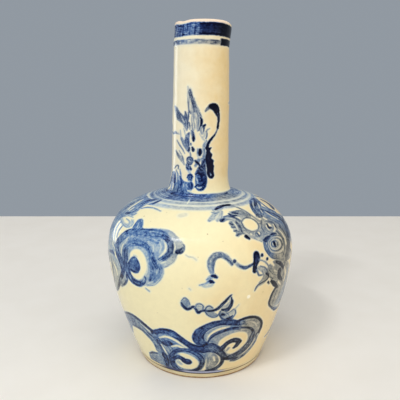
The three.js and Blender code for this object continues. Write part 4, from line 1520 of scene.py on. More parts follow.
def ring_tone(degrees, climb):
    """The rings' tone: eased between the radii, and between left, front and right by the sine of
    the angle round."""
    height = np.interp(climb / 1000, outline_length, outline[:, 1])
    radius = 1000 * np.interp(height, outline[:, 1], outline[:, 0])
    radii, *tones = np.array(shoulder_rings).T
    left, front, right = (np.interp(radius, radii, tone) for tone in tones)
    sine = np.sin(np.radians(degrees))
    tone = front + (left - front) * smooth_step(sine, -0.70, -0.86)
    return tone + (right - tone) * smooth_step(sine, 0.14, 0.55)


def shifted(motif, angle, stretch=1.0):
    """A motif in degrees and millimetres, carried round by an angle: its degrees times a stretch,
    plus the angle."""
    strokes = []
    for kind, tone, path in motif:
        strokes.append((kind, tone, [(angle + u * stretch, v, width) for u, v, width in path]))
    return strokes


def painted_body(rows):
    """The paint of the body at these rows, in the order in which it is laid: the rings, the front,
    the back, and the clouds over the foot once more behind, the last carried on a third time."""
    behind, further_round = 154, 232
    painting = Painting(rows, body_columns)
    painting.circle("wash", ring_tone, climb_to(radius=38.8), climb_to(radius=21.6))
    painting.add([scratch_through_rings])
    for motif in front_of_body:
        painting.add(motif)
    for motif in (back_of_body, tail_tuft, scalloped_end, mane_locks, jaw_edge, cloud_tail):
        painting.add(motif, placed=round_vase)
    painting.add(shifted(cloud_tail, behind), placed=round_vase)
    painting.add(left_foot_cloud, turned=behind)
    painting.add(right_foot_cloud, turned=behind)
    painting.add(right_foot_cloud, turned=further_round)
    return painting.marks()


slip_height = belly_height - slip_reach
upper_slip_height = belly_height + belly_seat_rise + slip_reach
belly_inner_radius = belly_radius - belly_wall


def share_at(handles, height, wall_at_start, wall_at_end):
    """The share of a curve at which its inner face, without ridges, is at a height."""
    t = np.linspace(0, 1, 401)
    inner = inner_face(handles, t, wall_at_start + (wall_at_end - wall_at_start) * t)
    return float(np.interp(height, inner[:, 1], t))


lower_walls, upper_walls = (foot_wall, belly_wall), (belly_wall, shoulder_wall)
floor_share = share_at(lower_handles, floor_top + floor_corner, *lower_walls)
lower_slip_share = share_at(lower_handles, slip_height, *lower_walls)
upper_slip_share = share_at(upper_handles, upper_slip_height, *upper_walls)
lower_inside = inner_rows(lower_handles, floor_share, lower_slip_share, 25, *lower_walls)
upper_inside = inner_rows(upper_handles, upper_slip_share, 1, 22, *upper_walls)
corner_radius = lower_inside[0][0]
corner_handles = [
    lower_inside[0],
    (corner_radius - floor_corner / 3, floor_top),
    (corner_radius - floor_corner * 1.4, floor_top),
]
corner = bezier(corner_handles, np.linspace(0, 1, 7))
neck_seat_inner = (shoulder_opening_radius, crown_height - neck_seat_drop)
opening_foot = (shoulder_opening_radius, upper_inside[-1][1] + neck_seat_drop / 2)
belly_seat_inner = (belly_inner_radius, belly_height + belly_seat_rise)

lower_outside = [
    (0, foot_height + base_dome),
    (foot_inner_radius, foot_height),
    (foot_top_radius - groove_depth, foot_height),
    *lower_rows,
]
lower_section = [
    *lower_outside,
    belly_seat_inner,
    (belly_inner_radius, belly_height),
    *lower_inside[::-1],
    *corner[1:],
    (0, floor_top),
]
upper_section = [
    *upper_rows,
    neck_seat_inner,
    opening_foot,
    *upper_inside[::-1],
    belly_seat_inner,
]
lower_paint, upper_paint = painted_body(lower_outside), painted_body(upper_rows)
lower_body = thrown_piece(
    "lower_body_glazed", lower_section, body_columns, len(lower_outside), lower_paint
)
upper_body = thrown_piece(
    "upper_body_glazed", upper_section, body_columns, len(upper_rows), upper_paint
)


# The glaze over the painting is one cream coat with a faint lead-yellow cast, thicker and warmer
# towards the foot, and tan on the right, where warm light from that side is painted in as colour.
# Cobalt shows through it from a pale grey-blue wash to navy. Its edges are ragged by the grain, and
# its load is uneven with the bristles and darker at the rims.
painted_glaze, end = new_material("painted_glaze")
here, x, y, z = place()
grain, flecks = cloudy(here, 1500, 1.5), cloudy(here, 760, 2, 0.7)
blots, ripple = cloudy(here, 330, 2), cloudy(here, 110, 3, 0.6)
ragged = (grain - 0.5) * 0.5 + (flecks - 0.5) + (blots - 0.5) * 0.7
streaks_along, streaks_across = 0.13, 1.5
along, across = attribute("along") * streaks_along, attribute("across") * streaks_across
bristles = Shade.node("ShaderNodeCombineXYZ", {0: along, 1: across, 2: 0.0})
streaks = cloudy(bristles, 1.0, 3, 0.65)

# Millimetres from the nearest stroke's edge, negative inside it, and what the paint does there
line_edge, wash_edge = attribute("line") + ragged, attribute("wash") + ragged
line_cover = line_edge.rise(0.64, -0.54)
wash_cover = wash_edge.rise(0.78, -0.68)
core = line_edge.rise(0.2, -0.7) - line_edge.rise(-0.8, -1.8) * 0.9
pooling = wash_edge.rise(-1.2, -0.2) * 0.16 + 0.92
dark = attribute("line_tone")
uneven = (streaks - 0.5) * 2.6 + (ripple - 0.5) * 0.8 + (blots - 0.5) * 1.4 + (flecks - 0.5) * 1.4
line_load = dark * (core * 0.20 + 0.86 + uneven * (dark.rise(1.1, 0.6) * 0.75 + 0.15))
wash_load = attribute("wash_tone") * pooling * (uneven * 0.95 + 0.98)
cobalt = (line_cover * line_load).calc("MAXIMUM", wash_cover * wash_load)

# What is seen through more and more paint, where it fired blue and where it fired grey
cream_seen = (240, 228, 188)
paint_steps = [
    (0.18, (188, 196, 194), (194, 189, 168)),
    (0.36, (135, 157, 178), (151, 149, 135)),
    (0.52, (93, 125, 162), (108, 113, 110)),
    (0.68, (58, 89, 138), (74, 79, 84)),
    (0.84, (24, 46, 98), (38, 43, 54)),
    (1.0, (0, 5, 42), (1, 4, 18)),
]
blue_steps = [(amount, blue) for amount, blue, _ in paint_steps]
grey_steps = [(amount, grey) for amount, _, grey in paint_steps]


def seen_through(steps, amount):
    """What share of each part of the cream's light the paint lets back: the steps' colours over
    the cream's, mixed one after another as the amount rises."""
    cream = fired(*cream_seen)
    shade, low = (1.0, 1.0, 1.0), 0.0
    for high, colour in steps:
        through = tuple(min(1.0, c / w) for c, w in zip(fired(*colour), cream))
        share = Shade.node("ShaderNodeMapRange", {0: amount, 1: low, 2: high, 3: 0.0, 4: 1.0})
        shade, low = share.mix(shade, through), high
    return shade


greying = attribute("cast") + (cloudy(here, 60, 2) - 0.5) * 0.5
paint = greying.rise(0, 1).mix(seen_through(blue_steps, cobalt), seen_through(grey_steps, cobalt))

# The cream: tan towards the foot, and tan on the right as painted warm light from that side; on the
# neck by the side alone, as painted warm light
pale_body, tan_and_warm_lit_body = fired(240, 231, 190), fired(228, 206, 157)
pale_neck, tan_and_warm_lit_neck = fired(238, 230, 202), fired(224, 199, 146)
tan_and_painted_warm_light = (x * 11 - z * 3.5 + 0.42 + (cloudy(here, 26, 3, 0.6) - 0.5) * 0.9).rise(0.0, 0.80)
neck_tan_and_painted_warm_light = (x * 24 + 0.42 + (ripple - 0.5) * 0.6).rise(0, 1)
body_cream, neck_cream = tan_and_painted_warm_light.mix(pale_body, tan_and_warm_lit_body), neck_tan_and_painted_warm_light.mix(pale_neck, tan_and_warm_lit_neck)
cream = z.rise(0.112, 0.130).mix(body_cream, neck_cream)

# Bluish where the glaze lies thick round the neck's foot, and where the paint bled into it. The lip
# is thinly glazed, and the clay shows pinkish through it.
bluish, pinkish, lip_edge = fired(222, 230, 220), fired(238, 218, 196), (0.2176, 0.2184)
thick_glaze = z.rise(0.1084, 0.1094) * z.rise(0.1165, 0.1145)
bled = line_edge.calc("MINIMUM", wash_edge).rise(1.8, 0.2)
cream = (thick_glaze * 0.65).calc("MAXIMUM", bled * 0.28).mix(cream, bluish)
clouding = (cloudy(here, 240, 3, 0.65) - 0.5) * 0.12 + 1.0
cream = cream.times(Shade.node("ShaderNodeCombineXYZ", {part: clouding for part in range(3)}))
lip = (z + (blots - 0.5) * 0.0012).rise(*lip_edge)
cream = lip.mix(cream, pinkish)

# Iron specks, the middles of some cells by chance, each with its own strength, then grey smudges
# and the dark glaze pooled over the foot in front
specks_per_metre = 210.0
speck_brown, smudge_grey, pool_navy = fired(120, 96, 66), fired(166, 164, 158), fired(26, 28, 52)
pool_edge = (0.0067, 0.0062)
cells, chance = (
    Shade.node("ShaderNodeTexVoronoi", {"Vector": here, "Scale": specks_per_metre}, output=k)
    for k in range(2)
)
rare, strength = (Shade.node("ShaderNodeSeparateColor", {0: chance}, output=k) for k in range(2))
specks = (cells + (grain - 0.5) * 0.1).rise(0.13, 0.06) * rare.rise(0.74, 0.78)
specks = specks * (strength * 0.5 + 0.1)
cream = specks.mix(cream, speck_brown)
smudges = cloudy(here, 75, 4, 0.7).rise(0.66, 0.80) * 0.16
cream = smudges.mix(cream, smudge_grey)
front = in_front(x, y, left=(-0.020, -0.010), right=(0.024, 0.010))
pooled = (z + (blots - 0.5) * 0.0004).rise(*pool_edge)
cream = (pooled * front).mix(cream, pool_navy)

# A painted glint at lower right: a white spot over a small blister in the glaze
blister_place, blister_reach, blister_rise = (0.0285, -0.0537, 0.0609), 0.0017, 1.8
ends = {0: here, 1: blister_place}
from_blister = Shade.node("ShaderNodeVectorMath", ends, output=1, operation="DISTANCE")
painted_glint = from_blister.rise(blister_reach, blister_reach * 0.5)
cream = (painted_glint * 0.85).mix(cream, fired(255, 250, 232))

blister = from_blister.rise(blister_reach, 0.0) * blister_rise
pits = specks * -0.5 + cloudy(here, 420, 2) * 0.10 + ripple * 0.4 + line_cover * 0.05 + blister
surface(
    end,
    Base_Color=paint.times(cream),
    Specular_IOR_Level=0.18,
    Roughness=streaks * cobalt * 0.10 + blots * 0.06 + 0.12 + lip * 0.25,
    Normal=relief(pits, 0.30, 0.0004),
)
for piece, node in ((lower_body, "lower_body"), (upper_body, "upper_body")):
    piece.data.materials.append(painted_glaze)
    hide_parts(node)
    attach(piece, "root")


# The neck: a tall thrown tube with a flared foot, stood on the crown and luted there. Its lip
# swells a little and was cut unevenly. The glaze is wiped off the lip's edge, and the dragon's
# flame and tail are painted up its front.
neck_foot_wash = [
    patch("wash", 0.53, [
        (172.4, 172), (174.4, 171), (177, 174), (180, 175.6), (183.4, 180.5), (187, 182),
        (190, 181.4), (193, 183), (193.6, 188), (191.6, 190), (192, 193), (199, 195.4), (196, 198),
        (186, 199), (172, 196), (160, 192),
    ]),
    wash(0.67, [(180, 178, 3), (180.6, 185, 5), (181, 192, 6)]),
    wash(0.65, [(187.6, 184.6, 4), (189, 187, 4.4)]),
    line(0.83, [(174, 174, 1.6), (174.8, 178, 2.4), (174.4, 182, 1.6)]),
    line(0.77, [(177.8, 180.6, 1.2), (178.2, 185.6, 2), (177.4, 190.6, 1.8), (176, 194.4, 1.4)]),
    line(0.77, [(181, 179, 1.2), (181.4, 185, 2.2), (182, 190, 2.4), (183.6, 194, 1.8)]),
    line(0.73, [(172.6, 178, 1.2), (171.4, 184, 1.6), (169.4, 189, 1.8), (166, 192, 1.6)]),
    line(0.69, [(184.4, 183.4, 1), (184.6, 187, 1.3), (186, 191, 1.4)]),
    line(0.85, [(191, 182.6, 2), (192, 185.6, 2.8), (191.2, 188.8, 2)]),
    line(0.77, [(188.6, 184.6, 1.4), (189.6, 187.6, 2)]),
    bare([(173.2, 183, 0.7), (173, 186.4, 1), (172, 189.6, 0.6)]),
    bare([(176.2, 171.4, 0.8), (176.8, 176, 1.2), (176.6, 181.6, 0.8)]),
    bare([(178.8, 172, 0.5), (179, 178.4, 0.9), (179.6, 181, 0.5)]),
    bare([(183, 176, 1), (186, 180.6, 1.4), (189, 181.8, 0.9)]),
    bare([(170.8, 184.6, 0.6), (169.6, 187.6, 1.2), (166.6, 190.4, 1)]),
    bare([(183.4, 184, 0.7), (183.6, 186.6, 0.8)]),
    bare([(186, 184.6, 0.8), (187, 187, 0.9)]),
    bare([(187.6, 190.6, 1), (192, 192, 1.8), (199, 193.4, 1.2)]),
    line(0.79, [
        (170, 194.4, 1.2), (178, 195.6, 1.8), (187, 196.6, 1.8), (197, 197.2, 1.6), (206, 197, 1.2),
    ]),
]
# The flame that runs up the neck from the scales
neck_flame = [
    wash(0.28, [
        (190.4, 88.6, 1.6), (190.8, 94, 3.8), (191.6, 102, 6), (193.6, 109, 8.2), (195.6, 114, 8.6),
        (196, 118, 4),
    ]),
    wash(0.68, [
        (189.6, 90.4, 1.6), (190.4, 94.6, 2.8), (191.6, 98, 2.4), (193.4, 103, 2),
        (194.8, 108, 2.6), (196.6, 111, 3),
    ]),
    line(0.30, [(188, 86.6, 0.9), (188.2, 90.6, 1.1), (187.6, 96, 0.8)]),
    line(0.72, [(189.4, 92.2, 1.3), (189.8, 94.4, 1.4)]),
    line(0.72, [(191.8, 94.6, 1), (192.4, 97.6, 1.7), (193, 99.6, 1)]),
    line(0.58, [(188, 97.6, 0.8), (188.4, 103.4, 1.4), (188.8, 109, 1.3), (189.6, 112.8, 1.4)]),
    line(0.50, [(194, 98, 0.8), (196.2, 105, 1.1), (199.2, 110.4, 1.1)]),
    line(0.56, [(192.4, 104, 0.8), (193.6, 108.4, 1.4), (193.4, 112.4, 1)]),
    bare([(190.4, 98.6, 0.5), (190.7, 104, 1), (190.5, 109.6, 0.7)]),
    bare([(195.6, 112.4, 0.6), (196.2, 116, 1), (195.6, 120, 0.6)]),
    line(0.36, [(192.8, 115.4, 0.9), (193.6, 120, 1.2), (194.8, 126, 1.1), (193.8, 130, 0.7)]),
    line(0.34, [(192, 113.6, 0.8), (191.6, 119, 1.1), (192.6, 125.4, 1)]),
    line(0.46, [(192, 125, 0.9), (192.8, 130, 1.2), (194.6, 136, 0.9)]),
    line(0.32, [(195.8, 117, 0.8), (196.6, 123, 1), (196, 129, 0.7)]),
    wash(0.50, [(196.6, 110.4, 2), (199, 113.4, 3), (200.4, 117, 3)]),
    wash(0.42, [(199, 117, 1.6), (198.4, 122, 2), (198, 127, 1.6), (197.6, 131, 0.8)]),
    line(0.94, [
        (200.4, 117, 1.4), (201.6, 120.6, 2.6), (201.2, 124.4, 2.4), (199.9, 128.4, 1.6),
        (198.9, 130.4, 0.7),
    ]),
    line(0.56, [(198.6, 112, 1.3), (200.2, 115.4, 1.6)]),
]
# Wisps of smoke and small strokes left of the flame
neck_wisps = [
    wash(0.48, [
        (174.9, 107, 1.6), (176.6, 111, 4), (178.2, 115, 6), (181.4, 118.4, 6.4), (185, 121, 6),
        (186.6, 126, 3.6), (186.6, 130, 1.6),
    ]),
    wash(0.64, [(176.4, 109, 1.6), (178, 113.6, 3), (178.4, 117, 2)]),
    wash(0.60, [(185.6, 112.6, 1.6), (186, 117, 3.6), (186.6, 122, 3.8), (187.4, 127, 2)]),
    line(0.60, [(176.4, 108, 0.8), (178.2, 113, 1.6), (180.6, 118.6, 1.2)]),
    line(0.52, [(180, 112.6, 0.8), (182.6, 116, 1.3), (183.6, 121, 1)]),
    line(0.72, [(185.2, 112, 1.3), (185.4, 114.6, 1.1)]),
    line(0.68, [(188.4, 112.6, 1), (188.6, 117, 1.4), (188, 121, 0.9)]),
    line(0.72, [(189.6, 111.4, 1.5), (190.2, 113.4, 1.2)]),
    line(0.58, [(189.2, 122.6, 1), (189.8, 126, 1.5), (189.9, 129.4, 0.9)]),
    line(0.48, [(176.6, 118.8, 0.9), (180, 121, 1.2), (183, 123.6, 1), (185, 128, 0.8)]),
    bare([(190, 116, 0.6), (190.7, 122, 0.9), (191.2, 129, 0.8)]),
    bare([(182.4, 119, 0.5), (184.6, 122.4, 0.7)]),
    wash(0.42, [(181.6, 138.6, 2.6), (184.4, 144, 4), (187.6, 150, 2.6)]),
    wash(0.64, [(189, 133.4, 2), (187.2, 137, 4), (187, 141.6, 4.8), (187.4, 145.4, 3)]),
    wash(0.60, [(191.6, 131, 1.6), (193, 134.6, 3), (193.6, 139, 3.2)]),
    line(0.96, [(193.2, 135.8, 1.7), (193.5, 138.4, 2.9), (193.5, 140.8, 1.8)]),
    line(0.80, [(192.2, 131.6, 1), (192.7, 134, 1.2)]),
    line(0.72, [(187.4, 134.2, 1.4), (189, 133.4, 1)]),
    line(0.74, [(186.8, 137.6, 1.3), (188, 139.2, 1.6)]),
    line(0.74, [(185.4, 139.8, 1.3), (185.8, 142.2, 1.4)]),
    line(0.62, [(188.6, 141.6, 1.3), (188.8, 145.4, 1.4)]),
    bare([(190.4, 128, 0.5), (190.4, 132, 1), (190, 136, 0.8)]),
    line(0.68, [(190.8, 143.8, 1.6), (191, 144.8, 1.2)]),
    line(0.34, [(180.4, 130.6, 0.9), (180.8, 134, 1.1), (180.8, 137, 0.7)]),
    line(0.30, [(183.6, 128.6, 0.9), (184.6, 132, 1), (185, 135, 0.6)]),
    line(0.42, [(177, 140.4, 1), (179.6, 145, 1.6), (182.6, 149.6, 1.4), (184.6, 153.4, 0.8)]),
    line(0.46, [(181, 139.6, 0.9), (183.4, 144.4, 1.4), (186.6, 149.4, 1.3), (188.4, 152, 0.7)]),
    wash(0.44, [(175.8, 151, 1.4), (178.4, 155.6, 2.8), (181.6, 159.6, 3), (184, 164, 1.6)]),
    line(0.62, [(176.2, 151.6, 1), (177.6, 154.4, 1.6), (179.4, 157, 1)]),
    line(0.64, [(181.6, 155.6, 1), (182.8, 158.6, 1.8), (183.2, 161.6, 1.1)]),
    line(0.36, [(179, 150.6, 0.8), (181, 154, 1)]),
    line(0.58, [(174.8, 168, 1), (176.4, 165.8, 1.3), (178.4, 165.8, 1.2), (178.2, 168.4, 1)]),
    line(0.46, [(180, 169.6, 0.9), (180.6, 173.6, 1.3), (181.4, 177.4, 1)]),
    line(0.42, [(176.4, 170.4, 1), (178, 174, 1.2)]),
]
# The scales and dark blots over the neck's foot
neck_scales = [
    line(0.80, [(189, 148, 1.8), (188.8, 150.4, 2.2)]),
    line(0.98, [(192.4, 147.8, 2), (193.1, 149.6, 3), (192.9, 151, 2)]),
    line(0.36, [(190, 152.6, 1.2), (190.4, 155, 1.6)]),
    wash(0.60, [(189.8, 160.8, 5.6)]),
    line(0.82, [
        (186.9, 160.4, 1), (187.4, 158.4, 1.5), (189.6, 157.3, 1.7), (191.8, 158.2, 1.8),
        (192.7, 160.8, 1.4),
    ]),
    line(0.78, [(192.2, 162.4, 1.2), (190.6, 164.2, 1.6), (188.2, 164, 1.9), (187, 162.2, 1)]),
    bare([(189, 160.4, 1), (190, 161.6, 0.7)]),
    wash(0.60, [(187.4, 165.4, 3.6), (188.2, 168.2, 4.4)]),
    line(0.90, [(186.8, 167.6, 2), (188.4, 169.2, 2)]),
    line(0.86, [(190, 167, 1.5), (190.6, 169.2, 2.4)]),
    line(0.24, [(188.6, 171.6, 1.8), (190, 172.4, 1.6)]),
    wash(0.70, [(190, 177.6, 5.6)]),
    line(0.84, [(187.4, 177.4, 1.4), (188.6, 175.2, 1.8), (190.8, 174.8, 1.9), (192.4, 177, 1.8)]),
    line(0.70, [(188.6, 180, 1.6), (191.4, 180.4, 1.6)]),
    wash(0.50, [(195.4, 166, 2.4), (199.4, 159.4, 3.6), (204, 156, 3.6), (203.6, 150, 3)]),
    patch("wash", 0.80, [
        (204, 158.4), (201.6, 161), (200.8, 165), (198, 167.6), (195.8, 172), (195.2, 178),
        (195.4, 184), (196, 188.6), (199, 191), (203, 190.4), (206, 186.6), (207.2, 180),
        (206.6, 173), (207.4, 166.4), (206.4, 160),
    ]),
    bare([(196, 167, 1), (197.4, 169.4, 0.8)]),
    bare([(195.8, 177, 0.7), (197.2, 180.4, 1.1), (197.6, 182.8, 0.7)]),
    bare([(206, 162.4, 0.8), (206.3, 168.6, 0.9), (206.6, 175, 0.6)]),
    line(0.92, [(204.4, 159.4, 1.4), (203.6, 162.2, 2.2), (202.6, 164.4, 1.4)]),
    wash(0.82, [(199.4, 167.6, 2), (202.6, 170.6, 4.4), (204, 174.4, 4)]),
    wash(0.90, [(196.8, 173.6, 3), (199.4, 173, 5.4), (201.6, 176.4, 6), (202.6, 180.4, 5)]),
    wash(0.84, [(202.6, 179, 5), (203.4, 183.6, 5), (201.8, 186.4, 3)]),
    line(0.94, [
        (195.6, 174, 1.4), (198, 173, 2.4), (200.2, 174.4, 3), (202, 177.4, 3.4),
        (202.6, 181.4, 2.6),
    ]),
    line(0.88, [(203.8, 178, 1.6), (204, 182, 2.4), (203, 185, 1.6)]),
    line(1.0, [
        (195.3, 187, 1.6), (197.2, 185, 1.8), (200.2, 185.5, 2), (203, 184.9, 2.2),
        (205.2, 186.2, 1.8),
    ]),
    line(0.98, [(204, 187.4, 2), (202.6, 189.4, 2)]),
    bare([(197.6, 187.4, 1.2), (199.4, 188, 1.4), (201.2, 187.2, 0.9)]),
    line(0.98, [(195.4, 160.9, 1.8), (197.5, 163, 2.9), (199.6, 165.4, 1.9)]),
    bare([(200, 147, 4.6), (200, 152, 6.4), (200.2, 156.6, 4)]),
    line(0.22, [(197.4, 148.6, 1.2), (196.9, 153, 1.4), (198, 157.4, 1.2), (201.4, 158.6, 1)]),
    line(1.0, [(200, 150, 3.4), (200, 152.6, 4.2), (199.8, 154.6, 2.8)]),
]
# The hooked tail on the right of the flame
neck_tail = [
    line(0.96, [(205.2, 125, 1.6), (203.8, 126.2, 2.8), (202.8, 127, 1.8)]),
    line(0.78, [(203.7, 128, 1.8), (203.7, 130.6, 1.7), (202.9, 134, 1)]),
    line(0.40, [(201.4, 127.4, 1), (200.9, 130.6, 1.6), (201.6, 134, 1.2)]),
    line(0.44, [(209.7, 128.6, 0.9), (207.6, 129.6, 1.2), (206, 132, 1.4)]),
    line(0.60, [(206.6, 132, 1.2), (206.8, 135, 1.7), (205.9, 138.4, 1.2)]),
    line(0.24, [(204.6, 132.4, 1.2), (204, 136.6, 1.4), (201.6, 137, 0.8)]),
    line(0.26, [(199.6, 134, 0.9), (203, 139, 1.2), (205.8, 141.6, 0.9)]),
    wash(0.46, [(206.4, 140.6, 1.4), (204.4, 145, 2.6), (204, 150, 2.4), (204.4, 155, 2)]),
    wash(0.66, [(205.6, 111, 1.4), (208, 108.2, 2.8), (210.6, 106.4, 4.6)]),
    line(0.70, [(205.6, 111, 1), (208, 108.6, 1.4), (209.4, 105.6, 1.4)]),
    patch("line", 1.15, [
        (208.4, 105.6), (210.6, 103.7), (213.6, 103), (216.8, 104.2), (218.9, 107.4),
        (219.6, 111.6), (219.6, 116), (217, 116.6), (215, 113.6), (212.6, 110.6), (209.6, 108.4),
    ]),
    line(0.90, [(218.2, 115, 2.8), (218.7, 119.6, 2.3), (218.2, 124, 2)]),
    line(1.1, [(218.2, 124, 2), (217.8, 127.4, 2), (217, 130, 1)]),
    line(0.66, [(217, 129.6, 0.9), (216, 132.6, 1)]),
    line(1.15, [
        (216, 132.6, 1), (214.2, 135.6, 1.6), (211.4, 139, 2), (208.6, 142.8, 2.6), (207.2, 147, 3),
    ]),
    patch("line", 1.15, [
        (205.3, 148), (206.2, 152), (205.4, 156.6), (205.2, 161), (206.3, 165), (206.9, 169.6),
        (207.2, 174.8), (209.4, 178), (212.6, 178.2), (214.2, 175.4), (213.5, 170.6), (213.9, 166),
        (213.1, 163.6), (213.9, 160.6), (211.5, 158.2), (212.2, 154.4), (210.2, 151.2),
        (211.5, 147.4), (208.8, 147.6), (208.6, 144.4), (206.4, 145.6),
    ]),
    bare([(209.8, 172.6, 0.5), (211, 175.2, 0.9)]),
]

# The neck's wall: the bore with its finger ridges, the rounded lip and the outside
neck_wall, rim_wall, rim_round = 0.0036, 0.0031, 0.001
bore_foot_step = 0.0003
bore_top_radius, bore_radius = neck_top_radius - rim_wall, neck_radius - neck_wall
bore_foot = (shoulder_opening_radius - bore_foot_step, crown_height + slip_reach)
bore_top = (bore_top_radius, vase_height - rim_round * 1.5)
lip_side = vase_height - rim_round * 1.6


def straight_rows(start, end, spacing):
    """Rows evenly along a straight line, without its first."""
    steps = int(round(math.dist(start, end) / spacing))
    return np.linspace(start, end, steps + 1)[1:]


bore_rows = 38
bore_share = np.linspace(0, 1, bore_rows + 2)[1:-1]
bore_ridges = ridge_depth * np.sin(np.arange(bore_rows) * math.pi / 2)
bore = np.stack(
    [
        bore_top_radius + (bore_radius - bore_top_radius) * bore_share + bore_ridges,
        bore_top[1] + (bore_foot[1] - bore_top[1]) * bore_share,
    ],
    axis=-1,
)
lip_handles = [
    (lip_radius, lip_side),
    (lip_radius, vase_height + rim_round * 0.55),
    (bore_top_radius, vase_height + rim_round * 0.30),
    bore_top,
]
rounded_lip = bezier(lip_handles, np.linspace(0, 1, 13))
neck_outside = [
    *flare_rows,
    *stem_rows[1:],
    *straight_rows(stem_rows[-1], (lip_radius, lip_foot), neck_row_height),
    *straight_rows((lip_radius, lip_foot), (lip_radius, lip_side), neck_row_height),
]
neck_section = [*neck_outside, *rounded_lip[1:], *bore, bore_foot, neck_seat_inner]

painting = Painting(neck_outside, neck_columns)
for motif in (neck_foot_wash, neck_flame, neck_wisps, neck_scales, neck_tail):
    painting.add(motif)
painting.add(neck_wisps, turned=180)
for turned in (180, 270):
    painting.add(neck_foot_wash, turned=turned)
# Small clouds on the neck's sides, where a degree covers less of the wall than on the body
for angle, cloud in ((256, curled_cloud((0, 156), 5.5, 1)), (122, curled_cloud((0, 174), 4.6, -1))):
    painting.add(shifted(cloud, angle, belly_radius / neck_radius), placed=round_vase)

# The rim's two bands: how dark the brush left them, by the angle from the front
band_tones = [
    (-100, 0.92), (-72, 0.80), (-58, 0.82), (-42, 0.80), (-37, 0.64), (-30, 0.80), (-25, 0.82),
    (-20, 0.68), (-14, 0.72), (-10, 0.76), (-5, 0.94), (0, 1.04), (34, 1.06), (40, 1.14),
    (100, 1.1), (180, 0.9), (250, 0.94),
]
thin_tones = [
    (-90, 0.6), (-60, 0.72), (-47, 0.60), (-40, 0.54), (-28, 0.40), (-16, 0.34), (-6, 0.54),
    (4, 0.42), (13, 0.42), (20, 0.78), (28, 0.78), (36, 0.46), (43, 0.50), (50, 0.9), (58, 1.2),
    (90, 1.2), (150, 0.7), (210, 0.5),
]


def tone_round(tones, degrees):
    """A tone between those given at some angles, evenly from one to the next all the way round."""
    angles, values = np.array(tones).T
    return np.interp(degrees, angles, values, period=360)


def up_wall(climb, start, end):
    """0 at one height and 1 at another, given in metres, eased between."""
    return smooth_step(climb, climb_to(height=start), climb_to(height=end))


def band_tone(degrees, climb):
    """The rim band's tone: by the angle, with the streaks of a dry brush, less low down and along
    a faint line to the right, both the more the thinner it is."""
    full_tone, thickest_tone = 1.12, 1.16
    tone = tone_round(band_tones, degrees)
    streak = np.sin(np.radians(degrees) * 41) + np.sin(np.radians(degrees) * 67 + 1)
    low = up_wall(climb, 0.2150, 0.2108)
    faint = up_wall(climb, 0.2122, 0.2127) * up_wall(climb, 0.2133, 0.2127)
    faint = faint * smooth_step(degrees, -4, 4)
    lost = low * 0.2 + faint * 0.5
    return tone + (full_tone - tone) * streak * 0.2 - (thickest_tone - tone) * lost


def thin_tone(degrees, climb):
    """The lower ring's tone: blots by the angle, fading down to its lower edge."""
    lowest = 0.45
    left = lowest + (1 - lowest) * up_wall(climb, 0.2052, 0.2070)
    return tone_round(thin_tones, degrees) * left


def blot_tone(degrees, climb):
    """The blot where the lower ring's brush was set down and lifted, on the right: one rise over
    the angle times another."""
    return 1.25 * smooth_step(degrees, 36, 44) * smooth_step(degrees, 120, 90)


def foot_tone(degrees, climb):
    """The line round the neck's foot: even but for the right side, where it thins with the sine
    of the angle."""
    return 0.78 - 0.22 * smooth_step(np.sin(np.radians(degrees)), 0.1, 0.4)


wheel_bands = [
    ("line", band_tone, 0.2105, 0.2179),
    ("wash", thin_tone, 0.2055, 0.2083),
    ("line", blot_tone, 0.2053, 0.2092),
    ("wash", foot_tone, 0.1130, 0.1150),
]
for kind, tone, low, high in wheel_bands:
    painting.circle(kind, tone, climb_to(height=low), climb_to(height=high))
neck = thrown_piece("neck_glazed", neck_section, neck_columns, len(neck_outside), painting.marks())
neck.data.materials.append(painted_glaze)
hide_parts("neck")
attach(neck, "root")


# The slip inside: liquid clay squeezed out of the belly joint and from under the neck, wiped round
# with a sponge on a stick and left rough.
slip_thickness = 0.0011


def slip_section(seat):
    """A collar of slip: along the wall through its seat points, then back bulged inwards, the
    bulge the root of a half sine of the share along it."""
    seat = np.asarray(seat, float)
    share = np.linspace(0, 1, 11)[1:-1, None]
    start, end = seat[-1], seat[0]
    back = start + (end - start) * share
    bulge = slip_thickness * np.sin(share[:, 0] * math.pi) ** 0.5
    back[:, 0] = np.minimum(back[:, 0], seat[1:-1, 0].min()) - bulge
    return np.vstack([seat, back])


belly_joint = (belly_inner_radius, belly_height)
belly_seat = [lower_inside[-1], belly_joint, belly_seat_inner, upper_inside[0]]
neck_seat = [opening_foot, neck_seat_inner, bore_foot]
belly_section, neck_seat_section = slip_section(belly_seat), slip_section(neck_seat)
belly_slip = thrown_piece("belly_slip_wiped", belly_section, plain_columns)
neck_slip = thrown_piece("neck_slip_wiped", neck_seat_section, plain_columns)

dried_slip, end = new_material("dried_slip")
here, x, y, z = place()
wiped = Shade.node("ShaderNodeMapping", {0: here, 3: (60.0, 60.0, 900.0)})
surface(
    end,
    Base_Color=cloudy(wiped, 1, 3).rise(0.3, 0.7).mix(fired(222, 206, 170), fired(196, 176, 136)),
    Roughness=cloudy(here, 400, 2).rise(0.2, 0.8, 0.55, 0.8),
    Normal=relief(cloudy(wiped, 1, 4), 0.6, 0.0004),
)
for piece, node in ((belly_slip, "belly_slip"), (neck_slip, "neck_slip")):
    piece.data.materials.append(dried_slip)
    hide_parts(node)
    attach(piece, "root")


